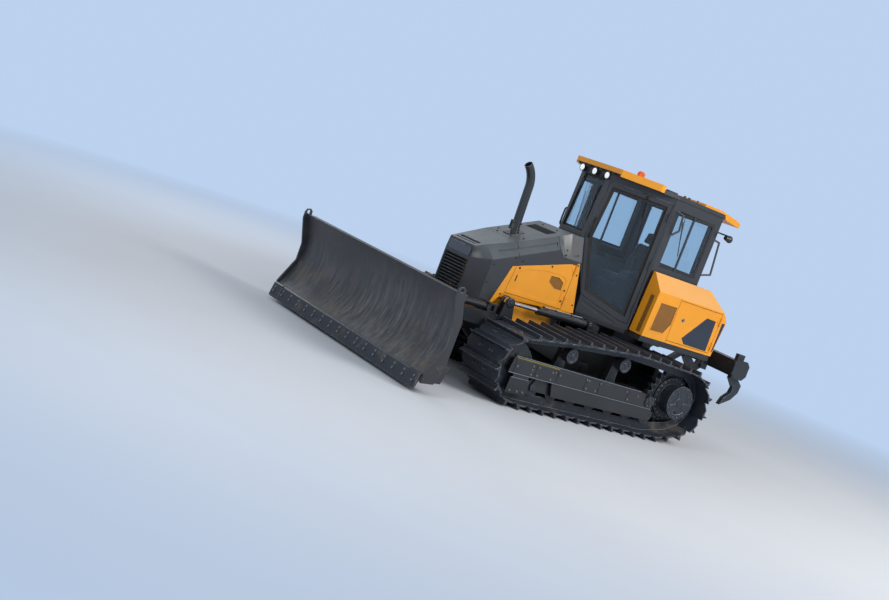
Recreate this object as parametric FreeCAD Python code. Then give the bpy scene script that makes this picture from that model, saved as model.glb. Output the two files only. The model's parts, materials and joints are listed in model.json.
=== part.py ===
"""Tracked bulldozer with a six-way blade, a hexagonal cab and a three-shank parallelogram ripper.

Millimetres. +X points forward, +Y to the machine's left, +Z up; the origin lies on the ground
below the middle of the machine. Each sub-part is written to parts/NODE.step.
"""
import FreeCAD, Part
import math
import os

V = FreeCAD.Vector
UP = V(0, 0, 1)

# Fits shared by the whole machine
SEAT = 0.3              # gap between curved pieces that touch
RUN_FIT = 0.05          # radial clearance of a shaft in its bore
PANEL_GAP = 6.0         # gap round doors and lids
KNUCKLE_R = 10.0        # hinge knuckles of doors
HINGE_OUT = 10.4        # hinge line of a door, out from its face
HINGE_PIN_R = 5.0
KNUCKLE_HEIGHT = 34.0
LEAF = 42.0             # length and thickness of a hinge leaf
LEAF_T = 3.0
PLATE = 12.0            # common steel plate
SHEET = 4.0             # common sheet metal

# Undercarriage
GAUGE = 1970.0          # between the track centre lines
SHOE_WIDTH = 710.0
LINK_PITCH = 190.0
GROUSER = 50.0
SHOE_PLATE = 14.0
SHOE_CLIP = (78.0, 62.0)        # clipped corner of a shoe, along the track and across it
PIN_TO_SHOE = 49.0      # from the pin line out to the shoe plate
PIN_TO_RAIL = 47.0      # from the pin line in to the rail that the rollers run on
RAIL_INNER, RAIL_OUTER = 75.0, 115.0    # link rails, each side of the track centre line
SPROCKET_X, SPROCKET_Z = -1450.0, 530.0
SPROCKET_PITCH_R = 352.0
SPROCKET_TEETH = 23
SPROCKET_WIDTH = 64.0
IDLER_X = 1220.0
IDLER_PITCH_R = 325.0
LAST_ROLLER_X, FIRST_ROLLER_X, ROLLER_COUNT = -1080.0, 840.0, 7
ROLLER_R = 88.0
CARRIER_R = 85.0
CARRIERS = ((455.0, 915.0), (-415.0, 978.0))    # x, height of the shoe plates above it
HUB_COVER_R = 212.0
HUB_COVER_Y = 1240.0
HUB_CASE_R = 146.0
TRACK_FRAME_Z = (362.0, 520.0)
TRACK_FRAME_HALF = 150.0
ROLLER_CHEEK = (134.0, 150.0)   # hanging cheeks that hold the roller shafts, out from the centre line
ROLLER_SHAFT_R = 30.0
ROLLER_LEAD = 60.0              # level track behind the last roller
TRACK_FRAME_X = (-1030.0, 830.0)
FORK_IN, FORK_OUT = 135.0, 163.0
GUARD_Y = (1170.0, 1186.0)
PIVOT_SHAFT = (-985.0, 440.0, 62.0)             # x, z, radius
EQUALISER_X, EQUALISER_Z = (540.0, 660.0), (285.0, 395.0)

TRACK_Y = GAUGE / 2
SHOE_FACE = PIN_TO_SHOE + SHOE_PLATE
BOTTOM_PIN_Z = GROUSER + SHOE_FACE
IDLER_Z = BOTTOM_PIN_Z + IDLER_PITCH_R
ROLLER_Z = BOTTOM_PIN_Z + PIN_TO_RAIL + ROLLER_R + SEAT

# Main frame and drive line
RAIL_Y = (330.0, 425.0)
RAIL_Z = (450.0, 900.0)
RAIL_HIGH = (205.0, 1250.0, 1030.0)     # raised middle of the rails: rear, front, top
FRAME_X = (-1600.0, 1540.0)
REAR_CASE_X = (-1560.0, -860.0)
REAR_CASE_TOP = 1070.0
PLATFORM_Z = (1100.0, 1150.0)

# Hood, nose and engine bay
NOSE_X = 1660.0
NOSE_HALF = 258.0
CORNER_X = 1500.0
BAY_HALF = 450.0
BAY_REAR_X = 160.0
HOOD_REAR_X = 205.0     # ahead of the cab doors' swing
BAY_BOTTOM = 900.0
HOOD_FRONT_TOP = 1516.0
HOOD_SLOPE = 0.397      # rise of the hood's top and crease for their length
COWL_Z = 2018.0
HOOD_HALF_FRONT, HOOD_HALF_REAR = 240.0, 330.0
HOOD_SEAM_X = 1150.0
CREASE_DROP = 136.0     # from the hood's top edge down to its crease
COWL_FOLD_X = (589.0, 511.0)    # where the crease drops to the cowl's lower edge
COWL_SIDE_Z = 1732.0
SKIN = 12.0
HOOD_SKIN = 20.0
GROOVE = (5.0, 7.0)     # width and depth of a panel seam
SHOULDER_RECESS = (0.45, 0.93, 14.0)    # down the shoulder from, down to, depth
RECESS_X = (1400.0, 620.0)
NOSE_SLOTS = ((1536.0, 1580.0), (1604.0, 1624.0))
NOSE_SLOT_HALF = 195.0
TOP_VENT_X, TOP_VENT_HALF = (530.0, 675.0), 215.0
VENT_DEPTH = 9.0
GRILLE_RIM = 26.0
HOOD_LAP = 10.0         # upright edge of the hood below its crease
ENGINE_DOOR_X = (262.0, 1168.0)
ENGINE_DOOR_BOTTOM = 1130.0
ENGINE_SEAM_TOP = (1131.0, 1449.0)      # x, z of the door's front upper corner
PANEL_TOP_FRONT = (1189.0, 1442.0)      # front upper corner of the side's yellow part
STRIP_TIP_X = 1350.0
SIDE_PANEL_T = 8.0
SIDE_REAR_X = (40.0, 218.0)     # rear edge of the engine bay's side, at its foot and its top
ENGINE_DOOR_T = 20.0
ENGINE_DOOR_LEVEL = 80.0        # level top edge beside the hinges, which lets the door swing
# height of the turned-in sill below the door: rear, front; how far in
SILL_DROP, SILL_IN = (10.0, 76.0), 15.0
FIELD_DEPTH = 4.0
DOOR_FIELD = ((1105.0, 1175.0), (1080.0, 1405.0), (932.0, 1462.0), (680.0, 1512.0), (400.0, 1513.0),
              (330.0, 1475.0),
              (330.0, 1175.0))
DOOR_VENT = ((574.0, 1476.0), (447.0, 1482.0), (359.0, 1438.0), (356.0, 1339.0), (461.0, 1338.0),
             (579.0, 1400.0))
LATCH_SLOT = ((1083.0, 1366.0), (1067.0, 1364.0), (1069.0, 1280.0), (1086.0, 1282.0))
EXHAUST_X, EXHAUST_R = 985.0, 52.0

# Cab
CAB_FRONT_X, CAB_FRONT_HALF = 153.0, 221.0
CAB_SIDE_X, CAB_SIDE_Y = -620.0, 750.0
CAB_REAR_X, CAB_REAR_HALF = -1545.0, 700.0
CAB_BOTTOM, CAB_TOP = PLATFORM_Z[1], 2850.0
CAB_WALL = 58.0
GLASS = 6.0
WINDSHIELD_BOTTOM_Z, WINDSHIELD_TOP_X = 2035.0, 92.0
DOOR_T = 42.0
DOOR_EDGE = 34.0                        # rear edge of a cab door, along its side from the cab's widest corner
CAB_HINGE_Z = (1420.0, 1980.0, 2600.0)  # heights of the doors' hinges
ENGINE_HINGE_Z = (1240.0, 1620.0)
REAR_HINGE_Z = (1290.0, 1620.0)
ROOF_T = 55.0
VISOR_UNDER = 32.0      # underside of the front visor's lip above the cab

# Cab fittings
FLOOR_Z = CAB_BOTTOM + 60.0
SEAT_X, SEAT_HALF, SEAT_Z = (-1210.0, -700.0), 250.0, (1610.0, 1730.0)
SEAT_BACK_TOP = 2330.0
CONSOLE_Y = (318.0, 500.0)
LAMP_R, LAMP_Y, LAMP_Z = 46.0, 235.0, 2818.0
REAR_LAMP = (CAB_REAR_HALF + 75.0, 2630.0)     # y, z
REAR_WINDOW_HALF = CAB_REAR_HALF - 140.0
BEACON = (-420.0, 200.0, 48.0)      # x, y, dome radius
BEACON_HEIGHT = 122.0
RAIL_R = 13.0

# Rear housings and fuel tank
BOX_GAP = 22.0          # between the cab's widest part and the housings
BOX_WIDTH = 228.0
BOX_Y = (max(CAB_SIDE_Y, CAB_REAR_HALF) + BOX_GAP, max(CAB_SIDE_Y, CAB_REAR_HALF) + BOX_GAP + BOX_WIDTH)
BOX_BOTTOM, BOX_SHOULDER, BOX_TOP = 1170.0, 1745.0, 1945.0
BOX_FRONT_X, BOX_REAR_X, BOX_NOSE_X, BOX_NOSE_Z = -625.0, -1930.0, -1980.0, 1640.0
BOX_SEAM_X = -1062.0
BOX_VENT = ((-744.0, 1619.0), (-1038.0, 1622.0), (-1038.0, 1400.0), (-959.0, 1270.0), (-726.0, 1266.0))
FRONT_VENT_Y, FRONT_VENT_Z = (875.0, 945.0), (1195.0, 1676.0)
TANK_FRONT_X = -1575.0
BOX_SKIN = 16.0
REAR_DOOR_RIM = 70.0    # from the housing's rear lower corner to its door

# Blade lift
TRUNNION_X, TRUNNION_Z, TRUNNION_R = -300.0, 520.0, 45.0
ARM_Y = (490.0, 600.0)
LIFT_Y = 560.0
LIFT_BASE = (-163.0, 1055.0)
LIFT_EYE = (1157.0, 1042.0)
LIFT_BARREL_R, LIFT_ROD_R, LIFT_GLAND_AT = 48.0, 26.0, 850.0
LIFT_REACH = 300.0      # rod inside the barrel when parked
PIN_R = 28.0
EYE_WALL = 22.0         # ring of metal round a pin
EYE_HALF = 28.0         # half the width of a cylinder's eye
HEAD = 4.0              # height of a pin's head
BORE_AT = 46.0          # from a base pin's surface to the bottom of the bore

# Blade
KING_X, KING_Z, KING_R = 2300.0, 400.0, 42.0
CROSS_X, CROSS_Z = (1800.0, 2010.0), (300.0, 500.0)
ANGLE_BASE = (1400.0, 545.0, 925.0)
ANGLE_EYE = (2425.0, 620.0, 925.0)
ANGLE_BARREL_R, ANGLE_ROD_R, ANGLE_GLAND_AT = 42.0, 24.0, 640.0
ANGLE_REACH = 280.0
CARRIER_PLATE_X = (2390.0, 2460.0)
TILT_PIN_R = 55.0
TILT_BASE = (-130.0, 905.0)         # y, z
TILT_EYE = (470.0, 905.0)
TILT_X = 2532.0
TILT_BARREL_R, TILT_ROD_R, TILT_GLAND_AT = 38.0, 20.0, 400.0
BLADE_HALF = 1650.0
BLADE_BACK_X = 2490.0
BLADE_LIP = (2800.0, 215.0)
BLADE_BELLY = (2612.0, 620.0)
BLADE_TOP = (2742.0, 1112.0)
BLADE_SKIN = 18.0
EDGE_TIP = (2852.0, 32.0)
EDGE_T = 25.0
LIFTING_EYE_R = 24.0

# Ripper
RIP_LOWER_PIN = (-1840.0, 528.0)    # at the machine
RIP_LINK = 750.0
RIP_RAISE = 38.0                    # degrees above level when parked
RIP_PIN_STEP = 200.0                # upper pins above the lower ones
RIP_LOWER_Y, RIP_UPPER_Y = (430.0, 490.0), (225.0, 275.0)
RIP_CYL_BASE = (-1640.0, 808.0)
RIP_CYL_EYE_R, RIP_CYL_EYE_TURN = 350.0, 53.0
RIP_BARREL_R, RIP_ROD_R, RIP_GLAND_AT = 42.0, 22.0, 352.0
RIP_REACH = 275.0
RIP_TUBE_AT = 480.0                 # cross tube of the lower links, from the machine's pin
RIP_PIN_R = 26.0
BEAM_X, BEAM_Z = (-2740.0, -2500.0), (1000.0, 1210.0)
BEAM_HALF = 960.0
SHANK_Y = (-870.0, 0.0, 870.0)
SHANK_T = 62.0

NODES = {}


def span(pair):
    """Length between the two ends of a (low, high) pair."""
    return pair[1] - pair[0]


def box(x, y, z):
    """Block between three (low, high) pairs."""
    return Part.makeBox(span(x), span(y), span(z), V(x[0], y[0], z[0]))


def prism_y(points, y):
    """Solid whose outline is drawn in X and Z and that runs across the machine."""
    wire = Part.makePolygon([V(px, y[0], pz) for px, pz in points + points[:1]])
    return Part.Face(wire).extrude(V(0, span(y), 0))


def prism_x(points, x):
    """Solid whose outline is drawn in Y and Z and that runs along the machine."""
    wire = Part.makePolygon([V(x[0], py, pz) for py, pz in points + points[:1]])
    return Part.Face(wire).extrude(V(span(x), 0, 0))


def prism_z(points, z):
    """Solid whose outline is drawn in plan and that stands upright."""
    wire = Part.makePolygon([V(px, py, z[0]) for px, py in points + points[:1]])
    return Part.Face(wire).extrude(V(0, 0, span(z)))


def bar(start, end, radius, hole=0.0):
    """Round bar or tube between two points."""
    axis = end - start
    solid = Part.makeCylinder(radius, axis.Length, start, axis)
    if hole:
        solid = solid.cut(Part.makeCylinder(hole, axis.Length, start, axis))
    return solid


def bar_y(x, z, radius, y, hole=0.0):
    """Round bar or tube across the machine."""
    return bar(V(x, y[0], z), V(x, y[1], z), radius, hole)


def fused(pieces):
    """One solid from pieces that touch or overlap."""
    first, *rest = pieces
    return first.multiFuse(rest).removeSplitter() if rest else first


def largest(shape):
    """The biggest solid of a shape, without slivers of its cuts."""
    return max(shape.Solids, key=lambda solid: solid.Volume)


def group(pieces):
    """Several solids that do not touch, kept as one sub-part."""
    return Part.makeCompound(pieces)


def mirrored(shape):
    """The same shape on the machine's other side."""
    return shape.mirror(V(0, 0, 0), V(0, 1, 0))


def both_sides(shape):
    """A shape and its mirror image."""
    return [shape, mirrored(shape)]


def handed(name, left):
    """Store a left piece and its mirrored right twin."""
    NODES[name + "_left"] = left
    NODES[name + "_right"] = mirrored(left)


def paired(name, left):
    """Store a left piece and its mirrored right twin as one sub-part."""
    NODES[name] = group(both_sides(left))


def hinge(line, ahead, heights):
    """Door hinges about an upright line: (knuckles, pins and leaves that stay, those on the door).

    The line is given where it meets the doors' outer face; ahead points along that face to the door.
    """
    outward = V(-ahead.y, ahead.x, 0)
    turn = math.degrees(math.atan2(ahead.y, ahead.x))
    staying, moving = [], []
    for z in heights:
        at = V(line[0], line[1], z) + outward * HINGE_OUT
        for level, own in ((-1, staying), (0, moving), (1, staying)):
            low = level * (KNUCKLE_HEIGHT + 1.0) - KNUCKLE_HEIGHT / 2
            knuckle = bar(at + UP * low, at + UP * (low + KNUCKLE_HEIGHT), KNUCKLE_R)
            reach = (1.5, LEAF) if own is moving else (-LEAF, -1.5)
            leaf = box(reach, (-HINGE_OUT, -HINGE_OUT + LEAF_T), (low, low + KNUCKLE_HEIGHT))
            leaf.rotate(V(0, 0, 0), UP, turn)
            leaf.translate(at)
            bore = bar(at + UP * -200.0, at + UP * 200.0, HINGE_PIN_R + RUN_FIT)
            own.append(fused([knuckle, leaf]).cut(bore) if own is moving else fused([knuckle, leaf]))
        rise = UP * (KNUCKLE_HEIGHT * 1.5)
        staying.append(bar(at - rise, at + rise, HINGE_PIN_R))
    return staying, moving


def tangent_point(centre, radius, point, side):
    """Where a line from a point touches a circle; side is +1 or -1."""
    dx, dz = point[0] - centre[0], point[1] - centre[1]
    distance = math.hypot(dx, dz)
    turn = math.atan2(dz, dx) + side * math.acos(radius / distance)
    return (centre[0] + radius * math.cos(turn), centre[1] + radius * math.sin(turn)), turn


def arc_points(centre, radius, start, end, steps):
    """Points along an arc, anticlockwise in X and Z."""
    while end < start:
        end += 2 * math.pi
    turns = [start + (end - start) * i / steps for i in range(steps + 1)]
    return [(centre[0] + radius * math.cos(t), centre[1] + radius * math.sin(t)) for t in turns]


def pin_path():
    """The closed line of the track pins: along the ground, round the idler, back over the carriers."""
    steps = 48
    idler, sprocket = (IDLER_X, IDLER_Z), (SPROCKET_X, SPROCKET_Z)
    front, rear = [(x, top - SHOE_FACE) for x, top in CARRIERS]
    ground = (LAST_ROLLER_X - ROLLER_LEAD, BOTTOM_PIN_Z)
    _, idler_leave = tangent_point(idler, IDLER_PITCH_R, front, -1)
    _, sprocket_meet = tangent_point(sprocket, SPROCKET_PITCH_R, rear, 1)
    _, sprocket_leave = tangent_point(sprocket, SPROCKET_PITCH_R, ground, -1)
    return ([ground]
            + arc_points(idler, IDLER_PITCH_R, -math.pi / 2, idler_leave, steps)
            + [front, rear]
            + arc_points(sprocket, SPROCKET_PITCH_R, sprocket_meet, sprocket_leave, steps))


def spaced(path, pitch):
    """Evenly spaced points round a closed path, as near the pitch as a whole number allows."""
    closed = path + path[:1]
    lengths = [math.dist(a, b) for a, b in zip(closed, closed[1:])]
    total = sum(lengths)
    count = round(total / pitch)
    points, leg, travelled = [], 0, 0.0
    for i in range(count):
        target = total * i / count
        while travelled + lengths[leg] < target:
            travelled += lengths[leg]
            leg += 1
        share = (target - travelled) / lengths[leg]
        a, b = closed[leg], closed[leg + 1]
        points.append((a[0] + (b[0] - a[0]) * share, a[1] + (b[1] - a[1]) * share))
    return points


def along(start, end, ahead, out):
    """Point beside a link: ahead from its first pin, out from the pin line."""
    length = math.dist(start, end)
    ux, uz = (end[0] - start[0]) / length, (end[1] - start[1]) / length
    return (start[0] + ux * ahead + uz * out, start[1] + uz * ahead - ux * out)


def track_links():
    """Pairs of neighbouring pins all round the track."""
    pins = spaced(pin_path(), LINK_PITCH)
    return list(zip(pins, pins[1:] + pins[:1]))


def under_rail(x, radius):
    """Height of a roller's centre where it just carries the upper run of the rails."""
    rail = [along(a, b, 0.0, -PIN_TO_RAIL) for a, b in track_links()]
    heights = []
    for (ax, az), (bx, bz) in zip(rail, rail[1:] + rail[:1]):
        length = math.dist((ax, az), (bx, bz))
        nx, nz = (az - bz) / length, (bx - ax) / length
        over = min(ax, bx) - radius < x < max(ax, bx) + radius
        if over and nz < -0.5:
            heights.append(az + (radius + SEAT - (x - ax) * nx) / nz)
    return min(heights)


def track():
    """Endless track: shoes with one grouser each on two link rails."""
    links = track_links()
    shoe_profile = ((6.0, SHOE_FACE), (LINK_PITCH - 46.0, SHOE_FACE),
                    (LINK_PITCH - 34.0, SHOE_FACE + GROUSER), (LINK_PITCH - 20.0, SHOE_FACE + GROUSER),
                    (LINK_PITCH - 12.0, SHOE_FACE - 6.0))
    outer = [along(a, b, ahead, out) for a, b in links for ahead, out in shoe_profile]
    inner = [along(a, b, 0.0, PIN_TO_SHOE) for a, b in links]
    rail = [along(a, b, 0.0, PIN_TO_SHOE + 4.0) for a, b in links]
    rail_inner = [along(a, b, 0.0, -PIN_TO_RAIL) for a, b in links]
    half = SHOE_WIDTH / 2
    plates = prism_y(outer, (TRACK_Y - half, TRACK_Y + half))
    plates = plates.cut(prism_y(inner, (TRACK_Y - half, TRACK_Y + half)))
    rails = []
    for side in (-1, 1):
        y = sorted((TRACK_Y + side * RAIL_INNER, TRACK_Y + side * RAIL_OUTER))
        rails.append(prism_y(rail, y).cut(prism_y(rail_inner, y)))
    return fused([plates] + rails).cut(group(shoe_corners(links)))


def shoe_corners(links):
    """Wedges that clip one corner at each end of every shoe."""
    length, width = SHOE_CLIP
    low, high = PIN_TO_SHOE - 8.0, SHOE_FACE + 6.0
    wedges = []
    for a, b in links:
        for side in (-1, 1):
            end, inside = (TRACK_Y + side * (SHOE_WIDTH / 2 + across) for across in (2.0, -width))
            corners = [(along(a, b, -6.0, low), end), (along(a, b, length, low), end),
                       (along(a, b, -6.0, low), inside)]
            foot = [V(point[0], y, point[1]) for point, y in corners]
            top = along(a, b, -6.0, high)
            rise = V(top[0], end, top[1]) - foot[0]
            wedges.append(Part.Face(Part.makePolygon(foot + foot[:1])).extrude(rise))
    return wedges


def sprocket():
    """Toothed rim on the final drive, with the drive's stepped case and its round cover."""
    root = SPROCKET_PITCH_R - 34.0
    tip = SPROCKET_PITCH_R + 14.0
    outline = []
    for i in range(SPROCKET_TEETH):
        middle = 2 * math.pi * i / SPROCKET_TEETH
        for share, radius in ((-0.30, root), (-0.12, tip), (0.12, tip), (0.30, root)):
            turn = middle + share * 2 * math.pi / SPROCKET_TEETH
            outline.append((SPROCKET_X + radius * math.cos(turn), SPROCKET_Z + radius * math.sin(turn)))
    half = SPROCKET_WIDTH / 2
    rim = prism_y(outline, (TRACK_Y - half, TRACK_Y + half))
    cover_step = 40.0
    shoulder = bar_y(SPROCKET_X, SPROCKET_Z, HUB_COVER_R + 55.0, (TRACK_Y + half - 10.0, TRACK_Y + 70.0))
    case = bar_y(SPROCKET_X, SPROCKET_Z, HUB_COVER_R - 25.0, (TRACK_Y, HUB_COVER_Y - cover_step))
    cover = bar_y(SPROCKET_X, SPROCKET_Z, HUB_COVER_R, (HUB_COVER_Y - cover_step, HUB_COVER_Y))
    inner = bar_y(SPROCKET_X, SPROCKET_Z, HUB_CASE_R, (RAIL_Y[1], TRACK_Y))
    return fused([rim, shoulder, case, cover, inner]).cut(group(cover_pockets()))


def cover_pockets():
    """Three shallow pockets in the final drive's cover, between a raised centre and a bolted rim."""
    depth = 9.0
    y = (HUB_COVER_Y - depth, HUB_COVER_Y + 5.0)
    ring = bar_y(SPROCKET_X, SPROCKET_Z, HUB_COVER_R * 0.72, y, HUB_COVER_R * 0.3)
    pockets = []
    for i in range(3):
        start = math.radians(100.0 + 120.0 * i)
        fan = [(SPROCKET_X, SPROCKET_Z)] + arc_points((SPROCKET_X, SPROCKET_Z), HUB_COVER_R, start,
                                                      start + math.radians(78.0), 6)
        pockets.append(ring.common(prism_y(fan, y)))
    return pockets


def idler():
    """Front wheel with a centre flange between the link rails, on its short shaft."""
    tread = math.sqrt(IDLER_PITCH_R ** 2 - (LINK_PITCH / 2) ** 2) - PIN_TO_RAIL - 1.5
    flange = tread + 26.0
    wheel = bar_y(IDLER_X, IDLER_Z, tread, (TRACK_Y - 118.0, TRACK_Y + 118.0))
    centre = bar_y(IDLER_X, IDLER_Z, flange, (TRACK_Y - 55.0, TRACK_Y + 55.0))
    shaft = bar_y(IDLER_X, IDLER_Z, 45.0, (TRACK_Y - FORK_OUT + 4.0, TRACK_Y + FORK_OUT - 4.0))
    return fused([wheel, centre, shaft])


def roller(x, z, radius, flange, y_out):
    """Track or carrier roller: two treads with outer flanges on one shaft."""
    treads = bar_y(x, z, radius, (TRACK_Y - 119.0, TRACK_Y + 119.0))
    flanges = [bar_y(x, z, flange, sorted((TRACK_Y + s * 118.0, TRACK_Y + s * 130.0))) for s in (-1, 1)]
    shaft = bar_y(x, z, ROLLER_SHAFT_R, (TRACK_Y - y_out, TRACK_Y + y_out))
    return fused([treads, shaft] + flanges)


def roller_places():
    """Stations of the track rollers, evenly spaced."""
    step = (FIRST_ROLLER_X - LAST_ROLLER_X) / (ROLLER_COUNT - 1)
    return [LAST_ROLLER_X + step * i for i in range(ROLLER_COUNT)]


def track_rollers():
    """The row of rollers that carries the machine on the lower run."""
    return group([roller(x, ROLLER_Z, ROLLER_R, ROLLER_R + 14.0, ROLLER_CHEEK[1]) for x in roller_places()])


def carrier_rollers():
    """Two rollers under the upper run, each on a stand from the track frame."""
    pieces = []
    for x, _ in CARRIERS:
        z = under_rail(x, CARRIER_R)
        wheel = bar_y(x, z, CARRIER_R, (TRACK_Y + 60.0, TRACK_Y + 165.0))
        shaft = bar_y(x, z, 34.0, (TRACK_Y - 70.0, TRACK_Y + 60.0))
        stand = prism_y([(x - 80.0, TRACK_FRAME_Z[1]), (x + 80.0, TRACK_FRAME_Z[1]),
                         (x + 42.0, z + 42.0), (x - 42.0, z + 42.0)], (TRACK_Y - 60.0, TRACK_Y + 10.0))
        face = TRACK_Y + 165.0
        groove = bar_y(x, z, CARRIER_R * 0.72, (face - 8.0, face + 5.0), CARRIER_R * 0.42)
        pieces.append(fused([wheel, shaft, stand]).cut(groove))
    return group(pieces)


def track_frame():
    """Box beam between sprocket and idler with its idler fork, side guards and roller guard."""
    x0, x1 = TRACK_FRAME_X
    z0, z1 = TRACK_FRAME_Z
    inner_y, outer_y = TRACK_Y - TRACK_FRAME_HALF, TRACK_Y + TRACK_FRAME_HALF
    beam = prism_y([(x0, z0), (x1, z0), (x1, z1), (x0 + 60.0, z1), (x0, z1 - 60.0)], (inner_y, outer_y))
    pieces = [beam]
    for side in (-1, 1):
        y = sorted((TRACK_Y + side * ROLLER_CHEEK[0], TRACK_Y + side * ROLLER_CHEEK[1]))
        cheek = prism_y([(LAST_ROLLER_X - 55.0, ROLLER_Z + 15.0), (LAST_ROLLER_X - 30.0, ROLLER_Z - 38.0),
                         (FIRST_ROLLER_X + 30.0, ROLLER_Z - 38.0), (FIRST_ROLLER_X + 50.0, ROLLER_Z + 15.0),
                         (x1 - 5.0, z0 + 20.0), (x0 - 60.0, z0 + 20.0)], y)
        for x in roller_places():
            cheek = cheek.cut(bar_y(x, ROLLER_Z, ROLLER_SHAFT_R + SEAT, (y[0] - 5.0, y[1] + 5.0)))
        pieces.append(cheek)
    fork = [(x1 - 60.0, z0 + 10.0), (IDLER_X, IDLER_Z - 70.0), (IDLER_X + 85.0, IDLER_Z - 60.0),
            (IDLER_X + 85.0, IDLER_Z + 60.0), (IDLER_X, IDLER_Z + 75.0), (x1 - 60.0, z1 - 10.0)]
    bore = bar_y(IDLER_X, IDLER_Z, 45.0 + SEAT, (inner_y - 100.0, outer_y + 100.0))
    for side in (-1, 1):
        cheek = sorted((TRACK_Y + side * FORK_IN, TRACK_Y + side * FORK_OUT))
        pieces.append(prism_y(fork, cheek).cut(bore))
        pieces.append(box((x1 - 60.0, x1), sorted((TRACK_Y + side * 100.0, TRACK_Y + side * FORK_IN)),
                          (z0 + 20.0, z1 - 20.0)))
    side_guard = prism_y([(1330.0, 372.0), (1300.0, 575.0), (-800.0, 540.0), (-1060.0, 380.0),
                          (-1060.0, 355.0),
                          (640.0, 370.0)], GUARD_Y)
    ledge = prism_y([(1300.0, 575.0), (1300.0, 563.0), (-800.0, 528.0), (-800.0, 540.0)],
                    (TRACK_Y + FORK_OUT, GUARD_Y[1]))
    stays = [box((x, x + 60.0), (outer_y - 2.0, GUARD_Y[0] + 2.0), (400.0, 500.0)) for x in (-900.0, -300.0,
                                                                                             200.0, 700.0)]
    front_stay = box((1120.0, 1180.0), (TRACK_Y + FORK_OUT - 2.0, GUARD_Y[0] + 2.0), (400.0, 480.0))
    roller_guard = prism_y([(640.0, 372.0), (580.0, 205.0), (-1020.0, 205.0), (-1060.0, 260.0),
                            (-1060.0, 372.0)],
                           (GUARD_Y[0] - 10.0, GUARD_Y[1] - 8.0))
    front_guard = prism_y([(1265.0, 330.0), (1272.0, 138.0), (965.0, 150.0), (985.0, 330.0)],
                          (GUARD_Y[0], GUARD_Y[1]))
    front_hanger = box((1000.0, 1240.0), GUARD_Y, (325.0, 375.0))
    cap_x, cap_z, cap_r = PIVOT_SHAFT
    shaft = bar_y(cap_x, cap_z, cap_r, (RAIL_Y[1], inner_y + 10.0))
    cap = bar_y(cap_x, cap_z, cap_r + 12.0, (outer_y - 2.0, GUARD_Y[1] + 14.0))
    equaliser_pad = box(EQUALISER_X, (inner_y - 60.0, inner_y + 10.0), (EQUALISER_Z[0], z0 + 60.0))
    roller_stays = [box((x, x + 60.0), (TRACK_Y + ROLLER_CHEEK[1] - 2.0, GUARD_Y[0] - 5.0), (300.0, 345.0))
                    for x in (-820.0, -180.0, 470.0)]
    pieces += [side_guard, ledge, front_stay, roller_guard, front_guard, front_hanger, shaft, cap,
               equaliser_pad]
    pieces += stays + roller_stays
    return fused(pieces)


def main_frame():
    """Two box rails tied by the rear drive case, cross members and a belly guard."""
    pieces = []
    rail = prism_y([(FRAME_X[0], RAIL_Z[0] + 60.0), (FRAME_X[0] + 200.0, RAIL_Z[0]),
                    (FRAME_X[1] - 250.0, RAIL_Z[0]),
                    (FRAME_X[1], RAIL_Z[0] + 150.0), (FRAME_X[1], RAIL_Z[1]),
                    (RAIL_HIGH[1] + 50.0, RAIL_Z[1]),
                    (RAIL_HIGH[1], RAIL_HIGH[2]), (RAIL_HIGH[0], RAIL_HIGH[2]), (RAIL_HIGH[0], RAIL_Z[1]),
                    (FRAME_X[0], RAIL_Z[1])], RAIL_Y)
    pieces += both_sides(rail)
    inner = (-RAIL_Y[0] - 5.0, RAIL_Y[0] + 5.0)
    pieces.append(box(REAR_CASE_X, inner, (RAIL_Z[0] + 20.0, REAR_CASE_TOP)))
    pieces.append(prism_y([(FRAME_X[1] - 60.0, 600.0), (FRAME_X[1], 600.0), (FRAME_X[1], RAIL_Z[1]),
                           (FRAME_X[1] - 60.0, RAIL_Z[1])], inner))
    pieces.append(box((FRAME_X[0] + 200.0, FRAME_X[1] - 250.0), inner, (RAIL_Z[0], RAIL_Z[0] + PLATE)))
    for x in (-60.0, 640.0):
        pieces.append(box((x, x + 90.0), inner, (RAIL_Z[0], RAIL_Z[0] + 180.0)))
    reach = TRACK_Y - TRACK_FRAME_HALF - 60.0
    pieces.append(box(EQUALISER_X, (-reach, reach), EQUALISER_Z))
    pieces.append(box((EQUALISER_X[0] + 20.0, EQUALISER_X[1] - 20.0), (-120.0, 120.0),
                      (EQUALISER_Z[1] - 1.0, RAIL_Z[0] + 5.0)))
    for x in (-480.0, -1400.0):
        for side in (-1, 1):
            y = sorted((side * RAIL_Y[0], side * RAIL_Y[1]))
            pieces.append(box((x, x + 90.0), y, (RAIL_Z[1] - 25.0, PLATFORM_Z[0])))
    for side in (-1, 1):
        y = sorted((side * (RAIL_Y[1] - 2.0), side * (ARM_Y[0] - PANEL_GAP)))
        boss = bar_y(TRUNNION_X, TRUNNION_Z, TRUNNION_R + 40.0, y)
        pin = bar_y(TRUNNION_X, TRUNNION_Z, TRUNNION_R, sorted((side * RAIL_Y[1], side * (ARM_Y[1] + 8.0))))
        pieces += [boss, pin]
    return fused(pieces)


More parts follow.
